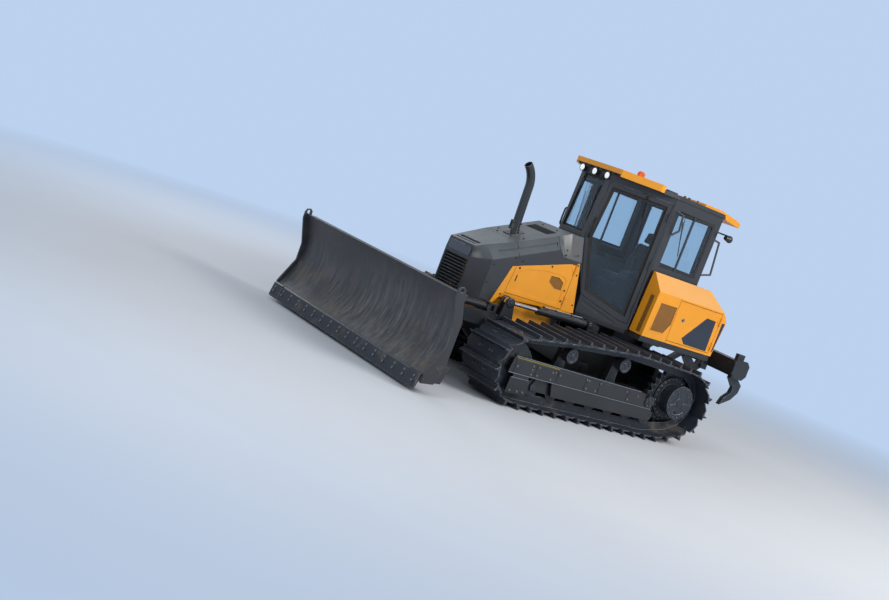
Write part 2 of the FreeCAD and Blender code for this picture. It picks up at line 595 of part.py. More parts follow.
def lift_bracket():
    """Bracket bolted to the frame's side that holds one lift cylinder's base pin."""
    x, z = LIFT_BASE
    half = 34.0
    ear = [(x - 150.0, 950.0), (x + 36.0, 950.0), (x + 36.0, z + 22.0), (x + 18.0, z + 46.0),
           (x - 34.0, z + 50.0),
           (x - 150.0, z + 10.0)]
    pieces = [prism_y(ear, (LIFT_Y - half - 16.0, LIFT_Y - half)),
              prism_y(ear, (LIFT_Y + half, LIFT_Y + half + 14.0))]
    shelf = prism_y([(x - 150.0, 930.0), (x + 60.0, 930.0), (x + 60.0, 955.0), (x - 150.0, 955.0)],
                    (RAIL_Y[1], LIFT_Y + half + 14.0))
    web = prism_y([(x - 150.0, 760.0), (x + 60.0, 760.0), (x + 60.0, 935.0), (x - 150.0, 935.0)],
                  (RAIL_Y[1], RAIL_Y[1] + PLATE))
    pin = bar_y(x, z, PIN_R, (LIFT_Y - half - 16.0, LIFT_Y + half + 14.0))
    return fused(pieces + [shelf, web, pin])


def cylinder_barrel(base, eye, radius, gland_at, y, pin_r, rod_r):
    """Cylinder body in an X-Z plane: base eye, tube with an open bore and gland ring."""
    direction = V(eye[0] - base[0], 0, eye[1] - base[1]).normalize()
    middle = (y[0] + y[1]) / 2
    start = V(base[0], middle, base[1])
    tube = bar(start + direction * (pin_r + 40.0), start + direction * gland_at, radius)
    gland = bar(start + direction * (gland_at - 45.0), start + direction * gland_at, radius + 5.0)
    neck = bar(start + direction * (pin_r + 6.0), start + direction * (pin_r + 50.0), span(y) / 2 - 4.0)
    ring = bar_y(base[0], base[1], pin_r + EYE_WALL, y)
    body = fused([tube, gland, neck, ring] + cylinder_pipe(start, direction, radius, pin_r, gland_at))
    body = body.cut(bar_y(base[0], base[1], pin_r + RUN_FIT, (y[0] - 50.0, y[1] + 50.0)))
    return body.cut(bar(start + direction * (pin_r + BORE_AT), start + direction * (gland_at + 10.0),
                        rod_r + RUN_FIT))


def cylinder_pipe(start, direction, radius, pin_r, gland_at):
    """Oil pipe along the top of a barrel, from its base to the port behind the gland."""
    lift = V(-direction.z, 0, direction.x)
    if lift.z < 0:
        lift = -lift
    run = (pin_r + 95.0, gland_at - 75.0)
    pipe = bar(start + direction * run[0] + lift * (radius + 12.0),
               start + direction * run[1] + lift * (radius + 12.0), 7.0)
    ports = []
    for at in run:
        foot = start + direction * at
        ports.append(bar(foot + lift * (radius - 6.0), foot + lift * (radius + 21.0), 14.0))
    return [pipe] + ports


def cylinder_rod(base, eye, radius, gland_at, y, pin_r, reach):
    """Chromed rod with the eye that meets the driven piece; its pin is in the eye."""
    direction = V(eye[0] - base[0], 0, eye[1] - base[1])
    length = direction.Length
    direction.normalize()
    middle = (y[0] + y[1]) / 2
    start = V(base[0], middle, base[1])
    ring_r = pin_r + EYE_WALL
    rod = bar(start + direction * (gland_at - reach), start + direction * (length - ring_r + 6.0), radius)
    return fused([rod, bar_y(eye[0], eye[1], ring_r, y)])


def c_frame():
    """Push frame: two side arms inside the tracks, a cross box and the nose that carries the blade."""
    tx, tz = TRUNNION_X, TRUNNION_Z
    side = [(tx - 85.0, tz - 30.0), (tx - 60.0, tz - 80.0), (tx + 60.0, tz - 85.0), (560.0, 600.0),
            (1150.0, 700.0),
            (1720.0, 705.0), (CROSS_X[0], CROSS_Z[0]), (CROSS_X[1], CROSS_Z[0]), (CROSS_X[1], CROSS_Z[1]),
            (1930.0, 640.0), (1800.0, 870.0), (1200.0, 870.0), (560.0, 770.0), (tx + 60.0, tz + 85.0),
            (tx - 60.0, tz + 80.0), (tx - 85.0, tz + 30.0)]
    pieces = both_sides(prism_y(side, ARM_Y))
    pieces.append(box(CROSS_X, (-ARM_Y[0] - 5.0, ARM_Y[0] + 5.0), CROSS_Z))
    nose = [(CROSS_X[1] - 5.0, -240.0), (KING_X, -82.0), (KING_X, 82.0), (CROSS_X[1] - 5.0, 240.0)]
    pieces.append(prism_z(nose, (KING_Z - 80.0, KING_Z + 80.0)))
    pieces.append(bar(V(KING_X, 0, KING_Z - 80.0), V(KING_X, 0, KING_Z + 80.0), 82.0))
    left = []
    half = 34.0
    ex, ez = LIFT_EYE
    lug = [(ex - 105.0, 865.0), (ex - 48.0, ez + 40.0), (ex - 20.0, ez + 62.0), (ex + 30.0, ez + 62.0),
           (ex + 62.0, ez + 30.0), (ex + 95.0, 865.0)]
    ears = ((ARM_Y[0] + 4.0, LIFT_Y - half), (LIFT_Y + half, ARM_Y[1] + 14.0))
    for y in ears:
        left.append(prism_y(lug, y))
    left.append(bar_y(ex, ez, PIN_R + 8.0, (ears[0][0] - HEAD, ears[0][0] + 1.0)))
    left.append(bar_y(ex, ez, PIN_R + 8.0, (ears[1][1] - 1.0, ears[1][1] + HEAD)))
    left.append(box((ex - 105.0, ex + 95.0), (ARM_Y[1] - 5.0, ARM_Y[1] + 14.0), (780.0, 870.0)))
    ax, ay, az = ANGLE_BASE
    for z in ((az - 55.0, az - 33.0), (az + 33.0, az + 55.0)):
        ear = [(ax - 55.0, ARM_Y[0]), (ax + 36.0, ARM_Y[0]), (ax + 36.0, ARM_Y[1]), (ax - 55.0, ARM_Y[1])]
        left.append(prism_z(ear, z))
    left.append(box((ax - 90.0, ax - 50.0), ARM_Y, (865.0, az + 55.0)))
    left.append(bar(V(ax, ay, az - 55.0), V(ax, ay, az + 55.0), PIN_R))
    for piece in left:
        pieces += both_sides(piece)
    frame = fused(pieces)
    frame = frame.cut(bar(V(KING_X, 0, 0), V(KING_X, 0, 900.0), KING_R + RUN_FIT))
    bores = both_sides(bar_y(tx, tz, TRUNNION_R + RUN_FIT, (ARM_Y[0] - 5.0, ARM_Y[1] + 5.0)))
    return frame.cut(bores[0]).cut(bores[1])


def upright_cylinder_pair(base, eye, radius, rod_r, gland_at, pin_r, reach):
    """Barrel and rod of a cylinder that lies level, with upright pins."""
    direction = (eye - base)
    length = direction.Length
    direction.normalize()
    half = V(0, 0, EYE_HALF)
    tube = bar(base + direction * (pin_r + 40.0), base + direction * gland_at, radius)
    gland = bar(base + direction * (gland_at - 40.0), base + direction * gland_at, radius + 5.0)
    neck = bar(base + direction * (pin_r + 6.0), base + direction * (pin_r + 50.0), half.z - 4.0)
    ring = bar(base - half, base + half, pin_r + EYE_WALL)
    barrel = fused([tube, gland, neck, ring]).cut(bar(base - half * 3, base + half * 3, pin_r + RUN_FIT))
    barrel = barrel.cut(bar(base + direction * (pin_r + BORE_AT), base + direction * (gland_at + 10.0),
                            rod_r + RUN_FIT))
    ring_r = pin_r + EYE_WALL
    rod = bar(base + direction * (gland_at - reach), base + direction * (length - ring_r + 6.0), rod_r)
    return barrel, fused([rod, bar(eye - half, eye + half, ring_r)])


def blade_carrier():
    """Swinging frame between the push frame's king pin and the blade."""
    x0, x1 = CARRIER_PLATE_X
    plate = [(-200.0, KING_Z - 130.0), (200.0, KING_Z - 130.0), (660.0, 840.0), (690.0, 880.0),
             (690.0, 985.0),
             (540.0, 985.0), (120.0, 780.0), (-120.0, 780.0), (-540.0, 985.0), (-690.0, 985.0),
             (-690.0, 880.0),
             (-660.0, 840.0)]
    body = prism_x(plate, (x0, x1))
    pieces = [body]
    for z in ((KING_Z - 125.0, KING_Z - 88.0), (KING_Z + 88.0, KING_Z + 125.0)):
        pieces.append(prism_z([(KING_X, -75.0), (x0 + 5.0, -110.0), (x0 + 5.0, 110.0), (KING_X, 75.0)], z))
        pieces.append(bar(V(KING_X, 0, z[0]), V(KING_X, 0, z[1]), 75.0))
    pieces.append(bar(V(KING_X, 0, KING_Z - 125.0), V(KING_X, 0, KING_Z + 125.0), KING_R))
    ex, ey, ez = ANGLE_EYE
    for side in (-1, 1):
        y = side * ey
        slot = box((x0 - 1.0, x1 + 1.0), sorted((y - side * 80.0, y + side * 90.0)), (ez - 34.0, ez + 34.0))
        pieces = [fused(pieces).cut(slot)]
        pieces.append(bar(V(ex, y, 984.0), V(ex, y, 985.0 + HEAD * 2), PIN_R + 4.0))
    pieces.append(bar(V(x1 - 2.0, 0, KING_Z), V(BLADE_BACK_X + 92.0, 0, KING_Z), TILT_PIN_R))
    ty, tz = TILT_BASE
    pieces.append(box((x0, TILT_X - 32.0), (ty - 38.0, ty + 38.0), (770.0, tz + 38.0)))
    pieces.append(bar(V(x1, ty, tz), V(TILT_X + 34.0, ty, tz), 24.0))
    return fused(pieces)


def tilt_cylinder():
    """Barrel and rod of the short cylinder that tips the blade."""
    base, eye = V(TILT_X, TILT_BASE[0], TILT_BASE[1]), V(TILT_X, TILT_EYE[0], TILT_EYE[1])
    half = V(26.0, 0, 0)
    along_y = V(0, 1, 0)
    pin_r = 24.0
    length = (eye - base).Length
    tube = bar(base + along_y * (pin_r + 28.0), base + along_y * TILT_GLAND_AT, TILT_BARREL_R)
    neck = bar(base + along_y * (pin_r + 4.0), base + along_y * (pin_r + 36.0), half.x - 4.0)
    ring = bar(base - half, base + half, pin_r + 18.0)
    barrel = fused([tube, neck, ring]).cut(bar(base - half * 3, base + half * 3, pin_r + RUN_FIT))
    barrel = barrel.cut(bar(base + along_y * (pin_r + 45.0), base + along_y * (TILT_GLAND_AT + 10.0),
                            TILT_ROD_R + RUN_FIT))
    drift = 4.0
    ring_r = pin_r + drift + 12.0
    rod = bar(base + along_y * (TILT_GLAND_AT - 110.0), base + along_y * (length - ring_r + 5.0), TILT_ROD_R)
    rod = fused([rod, bar(eye - half, eye + half, ring_r)]).cut(bar(eye - half * 3, eye + half * 3,
                                                                    pin_r + drift))
    return barrel, rod


def arc_face(points_out, points_in, y):
    """Curved plate: an outer and an inner three-point arc joined at both ends."""
    outer = [V(px, y[0], pz) for px, pz in points_out]
    inner = [V(px, y[0], pz) for px, pz in points_in]
    edges = [Part.Arc(*outer).toShape(), Part.LineSegment(outer[2], inner[2]).toShape(),
             Part.Arc(inner[2], inner[1], inner[0]).toShape(), Part.LineSegment(inner[0], outer[0]).toShape()]
    return Part.Face(Part.Wire(edges)).extrude(V(0, span(y), 0))


def edge_point(along_edge, out):
    """Point on the blade's cutting edge: down it from the mouldboard's lip and out from its back."""
    dx, dz = EDGE_TIP[0] - BLADE_LIP[0], EDGE_TIP[1] - BLADE_LIP[1]
    length = math.hypot(dx, dz)
    dx, dz = dx / length, dz / length
    return (BLADE_LIP[0] + dx * along_edge - dz * out, BLADE_LIP[1] + dz * along_edge + dx * out)


def before_blade():
    """Everything ahead of the mouldboard's curved face."""
    lip, belly, top = [V(px, -BLADE_HALF - 100.0, pz) for px, pz in (BLADE_LIP, BLADE_BELLY, BLADE_TOP)]
    far = 400.0
    ahead = [V(top.x + far, top.y, top.z), V(top.x + far, top.y, lip.z)]
    edges = [Part.Arc(lip, belly, top).toShape(), Part.LineSegment(top, ahead[0]).toShape(),
             Part.LineSegment(ahead[0], ahead[1]).toShape(), Part.LineSegment(ahead[1], lip).toShape()]
    return Part.Face(Part.Wire(edges)).extrude(V(0, 2 * BLADE_HALF + 200.0, 0))


def blade():
    """Curved mouldboard with its box sections, back ribs and the seats of the pivot and the tilt rod."""
    lip, belly, top = BLADE_LIP, BLADE_BELLY, BLADE_TOP
    full = (-BLADE_HALF, BLADE_HALF)
    back = [(lip[0] - BLADE_SKIN, lip[1] + 4.0), (belly[0] - BLADE_SKIN, belly[1]),
            (top[0] - BLADE_SKIN, top[1])]
    skin = arc_face([lip, belly, top], back, full)
    foot = prism_y([lip, edge_point(90.0, 0.0), (BLADE_BACK_X + 60.0, 150.0), (BLADE_BACK_X + 10.0, 330.0),
                    (BLADE_BACK_X + 40.0, 345.0), (lip[0] - 80.0, 345.0)], full)
    head = prism_y([(top[0] + 20.0, top[1]), (top[0] + 20.0, top[1] - 110.0), (top[0] - 60.0, top[1] - 110.0),
                    (top[0] - 125.0, top[1] - 60.0), (top[0] - 125.0, top[1])], full)
    rib = [(BLADE_BACK_X + 30.0, 335.0), (BLADE_BACK_X + 30.0, 700.0), (top[0] - 110.0, top[1] - 60.0),
           (top[0], top[1] - 60.0),
           (lip[0], 335.0)]
    backing = [foot, head] + [prism_y(rib, (y - 10.0, y + 10.0)) for y in (-1250.0, -850.0, 850.0, 1250.0)]
    ahead = before_blade()
    pieces = [skin] + [piece.cut(ahead) for piece in backing]
    x0 = BLADE_BACK_X
    boss = bar(V(x0 + 16.0, 0, KING_Z), V(x0 + 96.0, 0, KING_Z), TILT_PIN_R + 48.0)
    web = box((x0 + 60.0, x0 + 150.0), (-260.0, 260.0), (325.0, 480.0))
    pieces += [boss, web]
    ty, tz = TILT_EYE
    lug_plate = box((TILT_X + 32.0, TILT_X + 94.0), (ty - 50.0, ty + 50.0), (tz - 55.0, tz + 55.0))
    lug_pin = bar(V(TILT_X - 30.0, ty, tz), V(TILT_X + 40.0, ty, tz), 24.0)
    pieces += [lug_plate, lug_pin]
    whole = fused(pieces)
    return whole.cut(bar(V(x0 - 10.0, 0, KING_Z), V(x0 + 97.0, 0, KING_Z), TILT_PIN_R + RUN_FIT))


def blade_edge():
    """Bolted cutting edge with thicker end bits."""
    tip = math.dist(BLADE_LIP, EDGE_TIP)
    outline = [edge_point(4.0, 0.0), edge_point(4.0, EDGE_T * 0.5), edge_point(22.0, EDGE_T),
               edge_point(tip - 10.0, EDGE_T * 0.5),
               edge_point(tip, 0.0)]
    bit = [edge_point(4.0, 0.0), edge_point(4.0, EDGE_T * 0.8), edge_point(18.0, EDGE_T * 1.4),
           edge_point(tip - 14.0, EDGE_T * 0.7),
           edge_point(tip, 0.0)]
    end_bit = 210.0
    pieces = [prism_y(outline, (-BLADE_HALF, BLADE_HALF))]
    pieces += both_sides(prism_y(bit, (BLADE_HALF - end_bit, BLADE_HALF)))
    return fused(pieces)


def blade_end():
    """Left end plate of the blade with its lifting eye."""
    lip, belly, top = BLADE_LIP, BLADE_BELLY, BLADE_TOP
    end = [(lip[0] + 10.0, 120.0), (lip[0] - 150.0, 135.0), (BLADE_BACK_X + 90.0, 330.0),
           (BLADE_BACK_X + 90.0, 820.0),
           (top[0] - 70.0, top[1] - 20.0), (top[0] - 64.0, top[1] + 45.0), (top[0] - 36.0, top[1] + 70.0),
           (top[0] + 6.0, top[1] + 60.0), (top[0] + 26.0, top[1] + 20.0), (top[0] + 26.0, top[1] - 60.0),
           (belly[0] + 52.0, belly[1] + 130.0), (belly[0] + 48.0, belly[1] - 80.0),
           (lip[0] + 10.0, lip[1] + 20.0)]
    eye = (top[0] - 18.0, top[1] + 28.0)
    hole = bar_y(eye[0], eye[1], LIFTING_EYE_R, (BLADE_HALF - 60.0, BLADE_HALF + 60.0))
    return prism_y(end, (BLADE_HALF, BLADE_HALF + 25.0)).cut(hole)


def hood_z(x):
    """Height of the hood's top edge, which is level over the cowl."""
    return min(HOOD_FRONT_TOP + HOOD_SLOPE * (NOSE_X - x), COWL_Z)


def crease_z(x):
    """Height of the crease below the hood's shoulder; ahead of the cab it drops to the cowl's foot."""
    top, foot = COWL_FOLD_X
    rising = HOOD_FRONT_TOP - CREASE_DROP + HOOD_SLOPE * (NOSE_X - max(x, top))
    if x >= top:
        return rising
    return rising + (COWL_SIDE_Z - rising) * min(1.0, (top - x) / (top - foot))


def top_half(x):
    """Half width of the hood's flat top."""
    share = min(1.0, (NOSE_X - x) / (NOSE_X - HOOD_SEAM_X))
    return HOOD_HALF_FRONT + (HOOD_HALF_REAR - HOOD_HALF_FRONT) * share


def side_half(x):
    """Half width of the hood at its crease, with the chamfered front corners."""
    share = min(1.0, (NOSE_X - x) / (NOSE_X - CORNER_X))
    return NOSE_HALF + (BAY_HALF - NOSE_HALF) * share


def hood_section(x, inset):
    """Outline of the hood at one station; inset gives its inside."""
    top, crease, low = hood_z(x) - inset, crease_z(x) - inset / 2, crease_z(x) - HOOD_LAP
    narrow, wide = top_half(x) - inset / 2, side_half(x) - inset
    crease = max(crease, low + 1.0)
    return [V(x, -wide, low), V(x, -wide, crease), V(x, -narrow, top), V(x, narrow, top), V(x, wide, crease),
            V(x, wide, low)]


def hood_solid(stations, inset):
    """Ruled solid through the hood's sections."""
    parts = []
    for a, b in zip(stations, stations[1:]):
        wires = [Part.makePolygon(section + section[:1]) for section in (hood_section(a, inset),
                                                                         hood_section(b, inset))]
        parts.append(Part.makeLoft(wires, True, True))
    return fused(parts)


def shoulder_recess():
    """Long recess in the left shoulder: deep along its upper edge and running out at the lower one."""
    upper, lower, depth = SHOULDER_RECESS
    wires = []
    for x in (RECESS_X[0], HOOD_SEAM_X, RECESS_X[1]):
        dy, dz = side_half(x) - top_half(x), crease_z(x) - hood_z(x)
        length = math.hypot(dy, dz)
        ny, nz = -dz / length, dy / length
        points = []
        for share, out in ((upper, 6.0), (upper, -depth), (lower, -0.5), (lower, 6.0)):
            points.append(V(x, top_half(x) + dy * share + ny * out, hood_z(x) + dz * share + nz * out))
        wires.append(Part.makePolygon(points + points[:1]))
    return fused([Part.makeLoft(pair, True, True) for pair in (wires[:2], wires[1:])])


def hood():
    """Sloping hood: folded sheet from the narrow nose to the cowl, with seams, slots and a top vent."""
    level_x = NOSE_X - (COWL_Z - HOOD_FRONT_TOP) / HOOD_SLOPE
    stations = [NOSE_X, CORNER_X, HOOD_SEAM_X, COWL_FOLD_X[0], COWL_FOLD_X[1], level_x, HOOD_REAR_X]
    outer = hood_solid(stations, 0.0)
    inner = hood_solid([NOSE_X - HOOD_SKIN] + stations[1:-1] + [HOOD_REAR_X + HOOD_SKIN], HOOD_SKIN)
    shell = outer.cut(inner)
    width, depth = GROOVE
    for x in (HOOD_SEAM_X, COWL_FOLD_X[0] + width):
        ring = hood_solid([x + width / 2, x - width / 2], -4.0).cut(hood_solid([x + width, x - width], depth))
        shell = shell.cut(ring)
    recess = shoulder_recess()
    shell = shell.cut(recess).cut(mirrored(recess))
    for slot in NOSE_SLOTS:
        shell = shell.cut(box(slot, (-NOSE_SLOT_HALF, NOSE_SLOT_HALF), (hood_z(NOSE_X), COWL_Z)))
    x0, x1 = TOP_VENT_X
    vent = prism_y([(x0, hood_z(x0) - VENT_DEPTH), (x0, hood_z(x0) + 30.0), (x1, hood_z(x1) + 30.0),
                    (x1, hood_z(x1) - VENT_DEPTH)],
                   (-TOP_VENT_HALF, TOP_VENT_HALF))
    return largest(shell.cut(vent))


def panel_top(x):
    """Top line of the yellow part of the engine bay's side."""
    front_x, front_z = PANEL_TOP_FRONT
    rear_z = COWL_SIDE_Z - HOOD_LAP - PANEL_GAP
    return front_z + (rear_z - front_z) * (front_x - x) / (front_x - SIDE_REAR_X[1])


def rear_edge(z):
    """Slanting rear edge of the engine bay's side, beside the cab door."""
    low, high = ENGINE_DOOR_BOTTOM, panel_top(SIDE_REAR_X[1])
    return SIDE_REAR_X[0] + span(SIDE_REAR_X) * (z - low) / (high - low)


def front_strip(grow=0.0):
    """Fixed yellow strip before the engine door, tapering down to the nose's lower edge."""
    door_x, door_z = ENGINE_SEAM_TOP
    gap = PANEL_GAP - grow
    low_x = ENGINE_DOOR_X[1] + gap
    return [(door_x + gap, panel_top(door_x + gap) + grow),
            (PANEL_TOP_FRONT[0] + grow, PANEL_TOP_FRONT[1] + grow),
            (STRIP_TIP_X + grow, BAY_BOTTOM), (STRIP_TIP_X - 14.0, BAY_BOTTOM),
            (low_x, ENGINE_DOOR_BOTTOM - PANEL_GAP)]


def rear_filler(grow=0.0):
    """Fixed yellow panel that carries the engine door's hinges."""
    x0 = ENGINE_DOOR_X[0] - PANEL_GAP
    low = ENGINE_DOOR_BOTTOM - PANEL_GAP
    high = panel_top(SIDE_REAR_X[1])
    return [(x0, low), (x0, panel_top(x0) + grow), (SIDE_REAR_X[1], high + grow), (rear_edge(low), low)]


def door_sill():
    """Turned-in sill below the engine door, from the hinge panel to the strip before the door."""
    high = ENGINE_DOOR_BOTTOM - PANEL_GAP
    x0, x1 = rear_edge(high) + 30.0, ENGINE_DOOR_X[1] + PANEL_GAP
    y, t = BAY_HALF, SIDE_PANEL_T
    deep = high - SILL_DROP[1]
    section = [(y, high), (y - t, high), (y - t - SILL_IN, deep), (y - SILL_IN, deep)]
    front = x1 + span((deep, high)) * (STRIP_TIP_X - x1) / (high - BAY_BOTTOM)
    side = prism_y([(x0, high), (x1 + 10.0, high), (front, deep), (x0, high - SILL_DROP[0])],
                   (y - 60.0, y + 10.0))
    return prism_x(section, (x0, front)).common(side)


def side_panels():
    """Fixed yellow panel of the left side round the engine door, with the door's hinges."""
    y = (BAY_HALF - SIDE_PANEL_T, BAY_HALF)
    return fused([prism_y(front_strip(), y), prism_y(rear_filler(), y), door_sill()] + engine_hinges()[0])


def nose():
    """Radiator guard: chamfered front corners, dark sides over the engine door and the grille's frame."""
    low = BAY_BOTTOM + 20.0
    t = SKIN
    drop = HOOD_LAP + SEAT
    edge = [(x, crease_z(x) - drop) for x in (HOOD_REAR_X, COWL_FOLD_X[1], COWL_FOLD_X[0], CORNER_X)]
    foot = ENGINE_DOOR_BOTTOM + PANEL_GAP + 4.0
    side = prism_y([(rear_edge(foot), foot), (SIDE_REAR_X[1], panel_top(SIDE_REAR_X[1]))] + edge +
                   [(CORNER_X, BAY_BOTTOM), (STRIP_TIP_X - 14.0, BAY_BOTTOM),
                    (ENGINE_DOOR_X[1] + PANEL_GAP, foot)], (BAY_HALF - t, BAY_HALF))
    side = side.cut(prism_y(engine_door_outline(PANEL_GAP), (BAY_HALF - 60.0, BAY_HALF + 60.0)))
    plan = [(CORNER_X, BAY_HALF), (NOSE_X, NOSE_HALF), (NOSE_X - 10.0, NOSE_HALF - 14.0),
            (CORNER_X - 6.0, BAY_HALF - 16.0)]
    corner = prism_z(plan, (low, crease_z(CORNER_X)))
    above = [(x, crease_z(x) - drop) for x in (NOSE_X + 50.0, CORNER_X - 50.0)]
    corner = corner.cut(prism_y(above + [(CORNER_X - 50.0, COWL_Z), (NOSE_X + 50.0, COWL_Z)],
                                (0.0, BAY_HALF + 50.0)))
    flange = box((STRIP_TIP_X - 14.0, CORNER_X - 2.0), (RAIL_Y[1] - 25.0, BAY_HALF),
                 (BAY_BOTTOM, BAY_BOTTOM + t))
    left = fused([side, corner, flange])
    face = box((NOSE_X - 24.0, NOSE_X), (-NOSE_HALF, NOSE_HALF), (low, crease_z(NOSE_X) - drop))
    rim = NOSE_HALF - GRILLE_RIM
    opening = box((NOSE_X - 30.0, NOSE_X + 5.0), (-rim, rim), grille_height())
    bulkhead = box((BAY_REAR_X + 10.0, BAY_REAR_X + 22.0), (-BAY_HALF + t, BAY_HALF - t),
                   (BAY_BOTTOM, COWL_SIDE_Z - HOOD_LAP - 30.0))
    whole = fused([left, mirrored(left), face.cut(opening), bulkhead])
    let_in = (BAY_HALF - SIDE_PANEL_T - SEAT, BAY_HALF + 5.0)
    for outline in (front_strip(1.5), rear_filler(1.5)):
        pocket = prism_y(outline, let_in)
        whole = whole.cut(pocket).cut(mirrored(pocket))
    return whole


def grille_height():
    """Bottom and top of the grille's opening."""
    return BAY_BOTTOM + 42.0, crease_z(NOSE_X) - 40.0


def grille():
    """Radiator grille: a frame with a row of level louvres."""
    low, high = grille_height()
    half = NOSE_HALF - GRILLE_RIM
    low, high, half = low + SEAT, high - SEAT, half - SEAT
    frame = box((NOSE_X - 30.0, NOSE_X - 6.0), (-half, half), (low, high))
    frame = frame.cut(box((NOSE_X - 40.0, NOSE_X), (-half + 14.0, half - 14.0), (low + 12.0, high - 12.0)))
    pieces = [frame]
    count = 10
    step = (high - low - 24.0) / count
    for i in range(count):
        z = low + 12.0 + step * (i + 0.5)
        slat = [(NOSE_X - 28.0, z - 4.0), (NOSE_X - 8.0, z - 18.0), (NOSE_X - 8.0, z - 6.0),
                (NOSE_X - 28.0, z + 8.0)]
        pieces.append(prism_y(slat, (-half + 10.0, half - 10.0)))
    return fused(pieces)


def engine_door_outline(grow=0.0):
    """Side view of the engine door; grow gives the hole it closes."""
    x0, x1 = ENGINE_DOOR_X
    seam_x, _ = ENGINE_SEAM_TOP
    level_top = panel_top(x0 + ENGINE_DOOR_LEVEL)
    return [(x0 - grow, ENGINE_DOOR_BOTTOM - grow), (x0 - grow, level_top + grow),
            (x0 + ENGINE_DOOR_LEVEL, level_top + grow), (seam_x + grow, panel_top(seam_x) + grow),
            (x1 + grow, ENGINE_DOOR_BOTTOM - grow)]


def engine_hinges():
    """Hinge parts on the bay's side and on its door."""
    line = (ENGINE_DOOR_X[0] - PANEL_GAP / 2, BAY_HALF)
    return hinge(line, V(1, 0, 0), ENGINE_HINGE_Z)


def engine_door():
    """Hinged side door of the engine bay: recessed field with a vent and a latch slot."""
    y = BAY_HALF
    panel = prism_y(engine_door_outline(), (y - ENGINE_DOOR_T, y))
    door = fused([panel] + engine_hinges()[1])
    for outline, depth in ((DOOR_FIELD, FIELD_DEPTH), (DOOR_VENT, FIELD_DEPTH + VENT_DEPTH),
                           (LATCH_SLOT, FIELD_DEPTH + 8.0)):
        door = door.cut(prism_y(list(outline), (y - depth, y + 5.0)))
    return door


def exhaust():
    """Upright stack, bent forward and cut on the slant at its mouth."""
    z0 = hood_z(EXHAUST_X) - 30.0
    path = Part.Wire([
        Part.LineSegment(V(EXHAUST_X, 0, z0), V(EXHAUST_X + 30.0, 0, 2360.0)).toShape(),
        Part.Arc(V(EXHAUST_X + 30.0, 0, 2360.0), V(EXHAUST_X + 62.0, 0, 2480.0),
                 V(EXHAUST_X + 160.0, 0, 2600.0)).toShape()])
    profile = Part.Wire(Part.makeCircle(EXHAUST_R, V(EXHAUST_X, 0, z0), V(30.0, 0, 2360.0 - z0)))
    inner = Part.Wire(Part.makeCircle(EXHAUST_R - 6.0, V(EXHAUST_X, 0, z0), V(30.0, 0, 2360.0 - z0)))
    pipe = path.makePipeShell([profile], True, True)
    bore = path.makePipeShell([inner], True, True)
    pipe = pipe.cut(bore)
    slant = prism_y([(EXHAUST_X + 40.0, 2700.0), (EXHAUST_X + 260.0, 2700.0), (EXHAUST_X + 260.0, 2560.0)],
                    (-200.0, 200.0))
    pipe = pipe.cut(slant)
    flange = prism_y([(EXHAUST_X - 90.0, hood_z(EXHAUST_X - 90.0)),
                      (EXHAUST_X - 90.0, hood_z(EXHAUST_X - 90.0) + 14.0),
                      (EXHAUST_X + 90.0, hood_z(EXHAUST_X + 90.0) + 14.0),
                      (EXHAUST_X + 90.0, hood_z(EXHAUST_X + 90.0))],
                     (-85.0, 85.0))
    below = prism_y([(EXHAUST_X - 120.0, hood_z(EXHAUST_X - 120.0)),
                     (EXHAUST_X + 120.0, hood_z(EXHAUST_X + 120.0)),
                     (EXHAUST_X + 120.0, 1500.0), (EXHAUST_X - 120.0, 1500.0)], (-200.0, 200.0))
    return fused([pipe.cut(below), flange.cut(bar(V(EXHAUST_X, 0, z0), V(EXHAUST_X + 30.0, 0, 2360.0),
                                                  EXHAUST_R - 6.0))])


CAB_PLAN = [(CAB_FRONT_X, CAB_FRONT_HALF), (CAB_SIDE_X, CAB_SIDE_Y), (CAB_REAR_X, CAB_REAR_HALF),
            (CAB_REAR_X, -CAB_REAR_HALF), (CAB_SIDE_X, -CAB_SIDE_Y), (CAB_FRONT_X, -CAB_FRONT_HALF)]


def inset_plan(plan, inset):
    """Plan outline moved inward by a wall's thickness."""
    face = Part.Face(Part.makePolygon([V(x, y, 0) for x, y in plan + plan[:1]]))
    shrunk = face.makeOffset2D(-inset, 2)
    return [(vertex.Point.x, vertex.Point.y) for vertex in shrunk.OuterWire.OrderedVertexes]


def door_frame_axes():
    """Unit vectors of the slanted door side: back to front along it, and outward."""
    dx, dy = CAB_FRONT_X - CAB_SIDE_X, CAB_FRONT_HALF - CAB_SIDE_Y
    length = math.hypot(dx, dy)
    forward = V(dx / length, dy / length, 0)
    outward = V(-forward.y, forward.x, 0)
    return forward, outward, length


DOOR_OUTLINE = [(DOOR_EDGE, 1230.0), (150.0, 1230.0), (690.0, 1372.0), (900.0, 2045.0), (842.0, 2762.0),
                (DOOR_EDGE, 2775.0)]
DOOR_GLASS = [(92.0, 1305.0), (655.0, 1440.0), (842.0, 2060.0), (790.0, 2705.0), (92.0, 2716.0)]


SILL_RECESS = [(230.0, 1168.0), (640.0, 1274.0), (640.0, 1314.0), (180.0, 1193.0), (180.0, 1168.0)]
DIVIDER_X = -1048.0     # bar between the halves of a cab side window


def door_prism(outline, depth):
    """Solid in the slanted door side: outline along it and up, depth measured from the outer face."""
    forward, outward, _ = door_frame_axes()
    corner = V(CAB_SIDE_X, CAB_SIDE_Y, 0)
    points = [corner + forward * s + outward * depth[0] + UP * z for s, z in outline]
    wire = Part.makePolygon(points + points[:1])
    return Part.Face(wire).extrude(outward * span(depth))


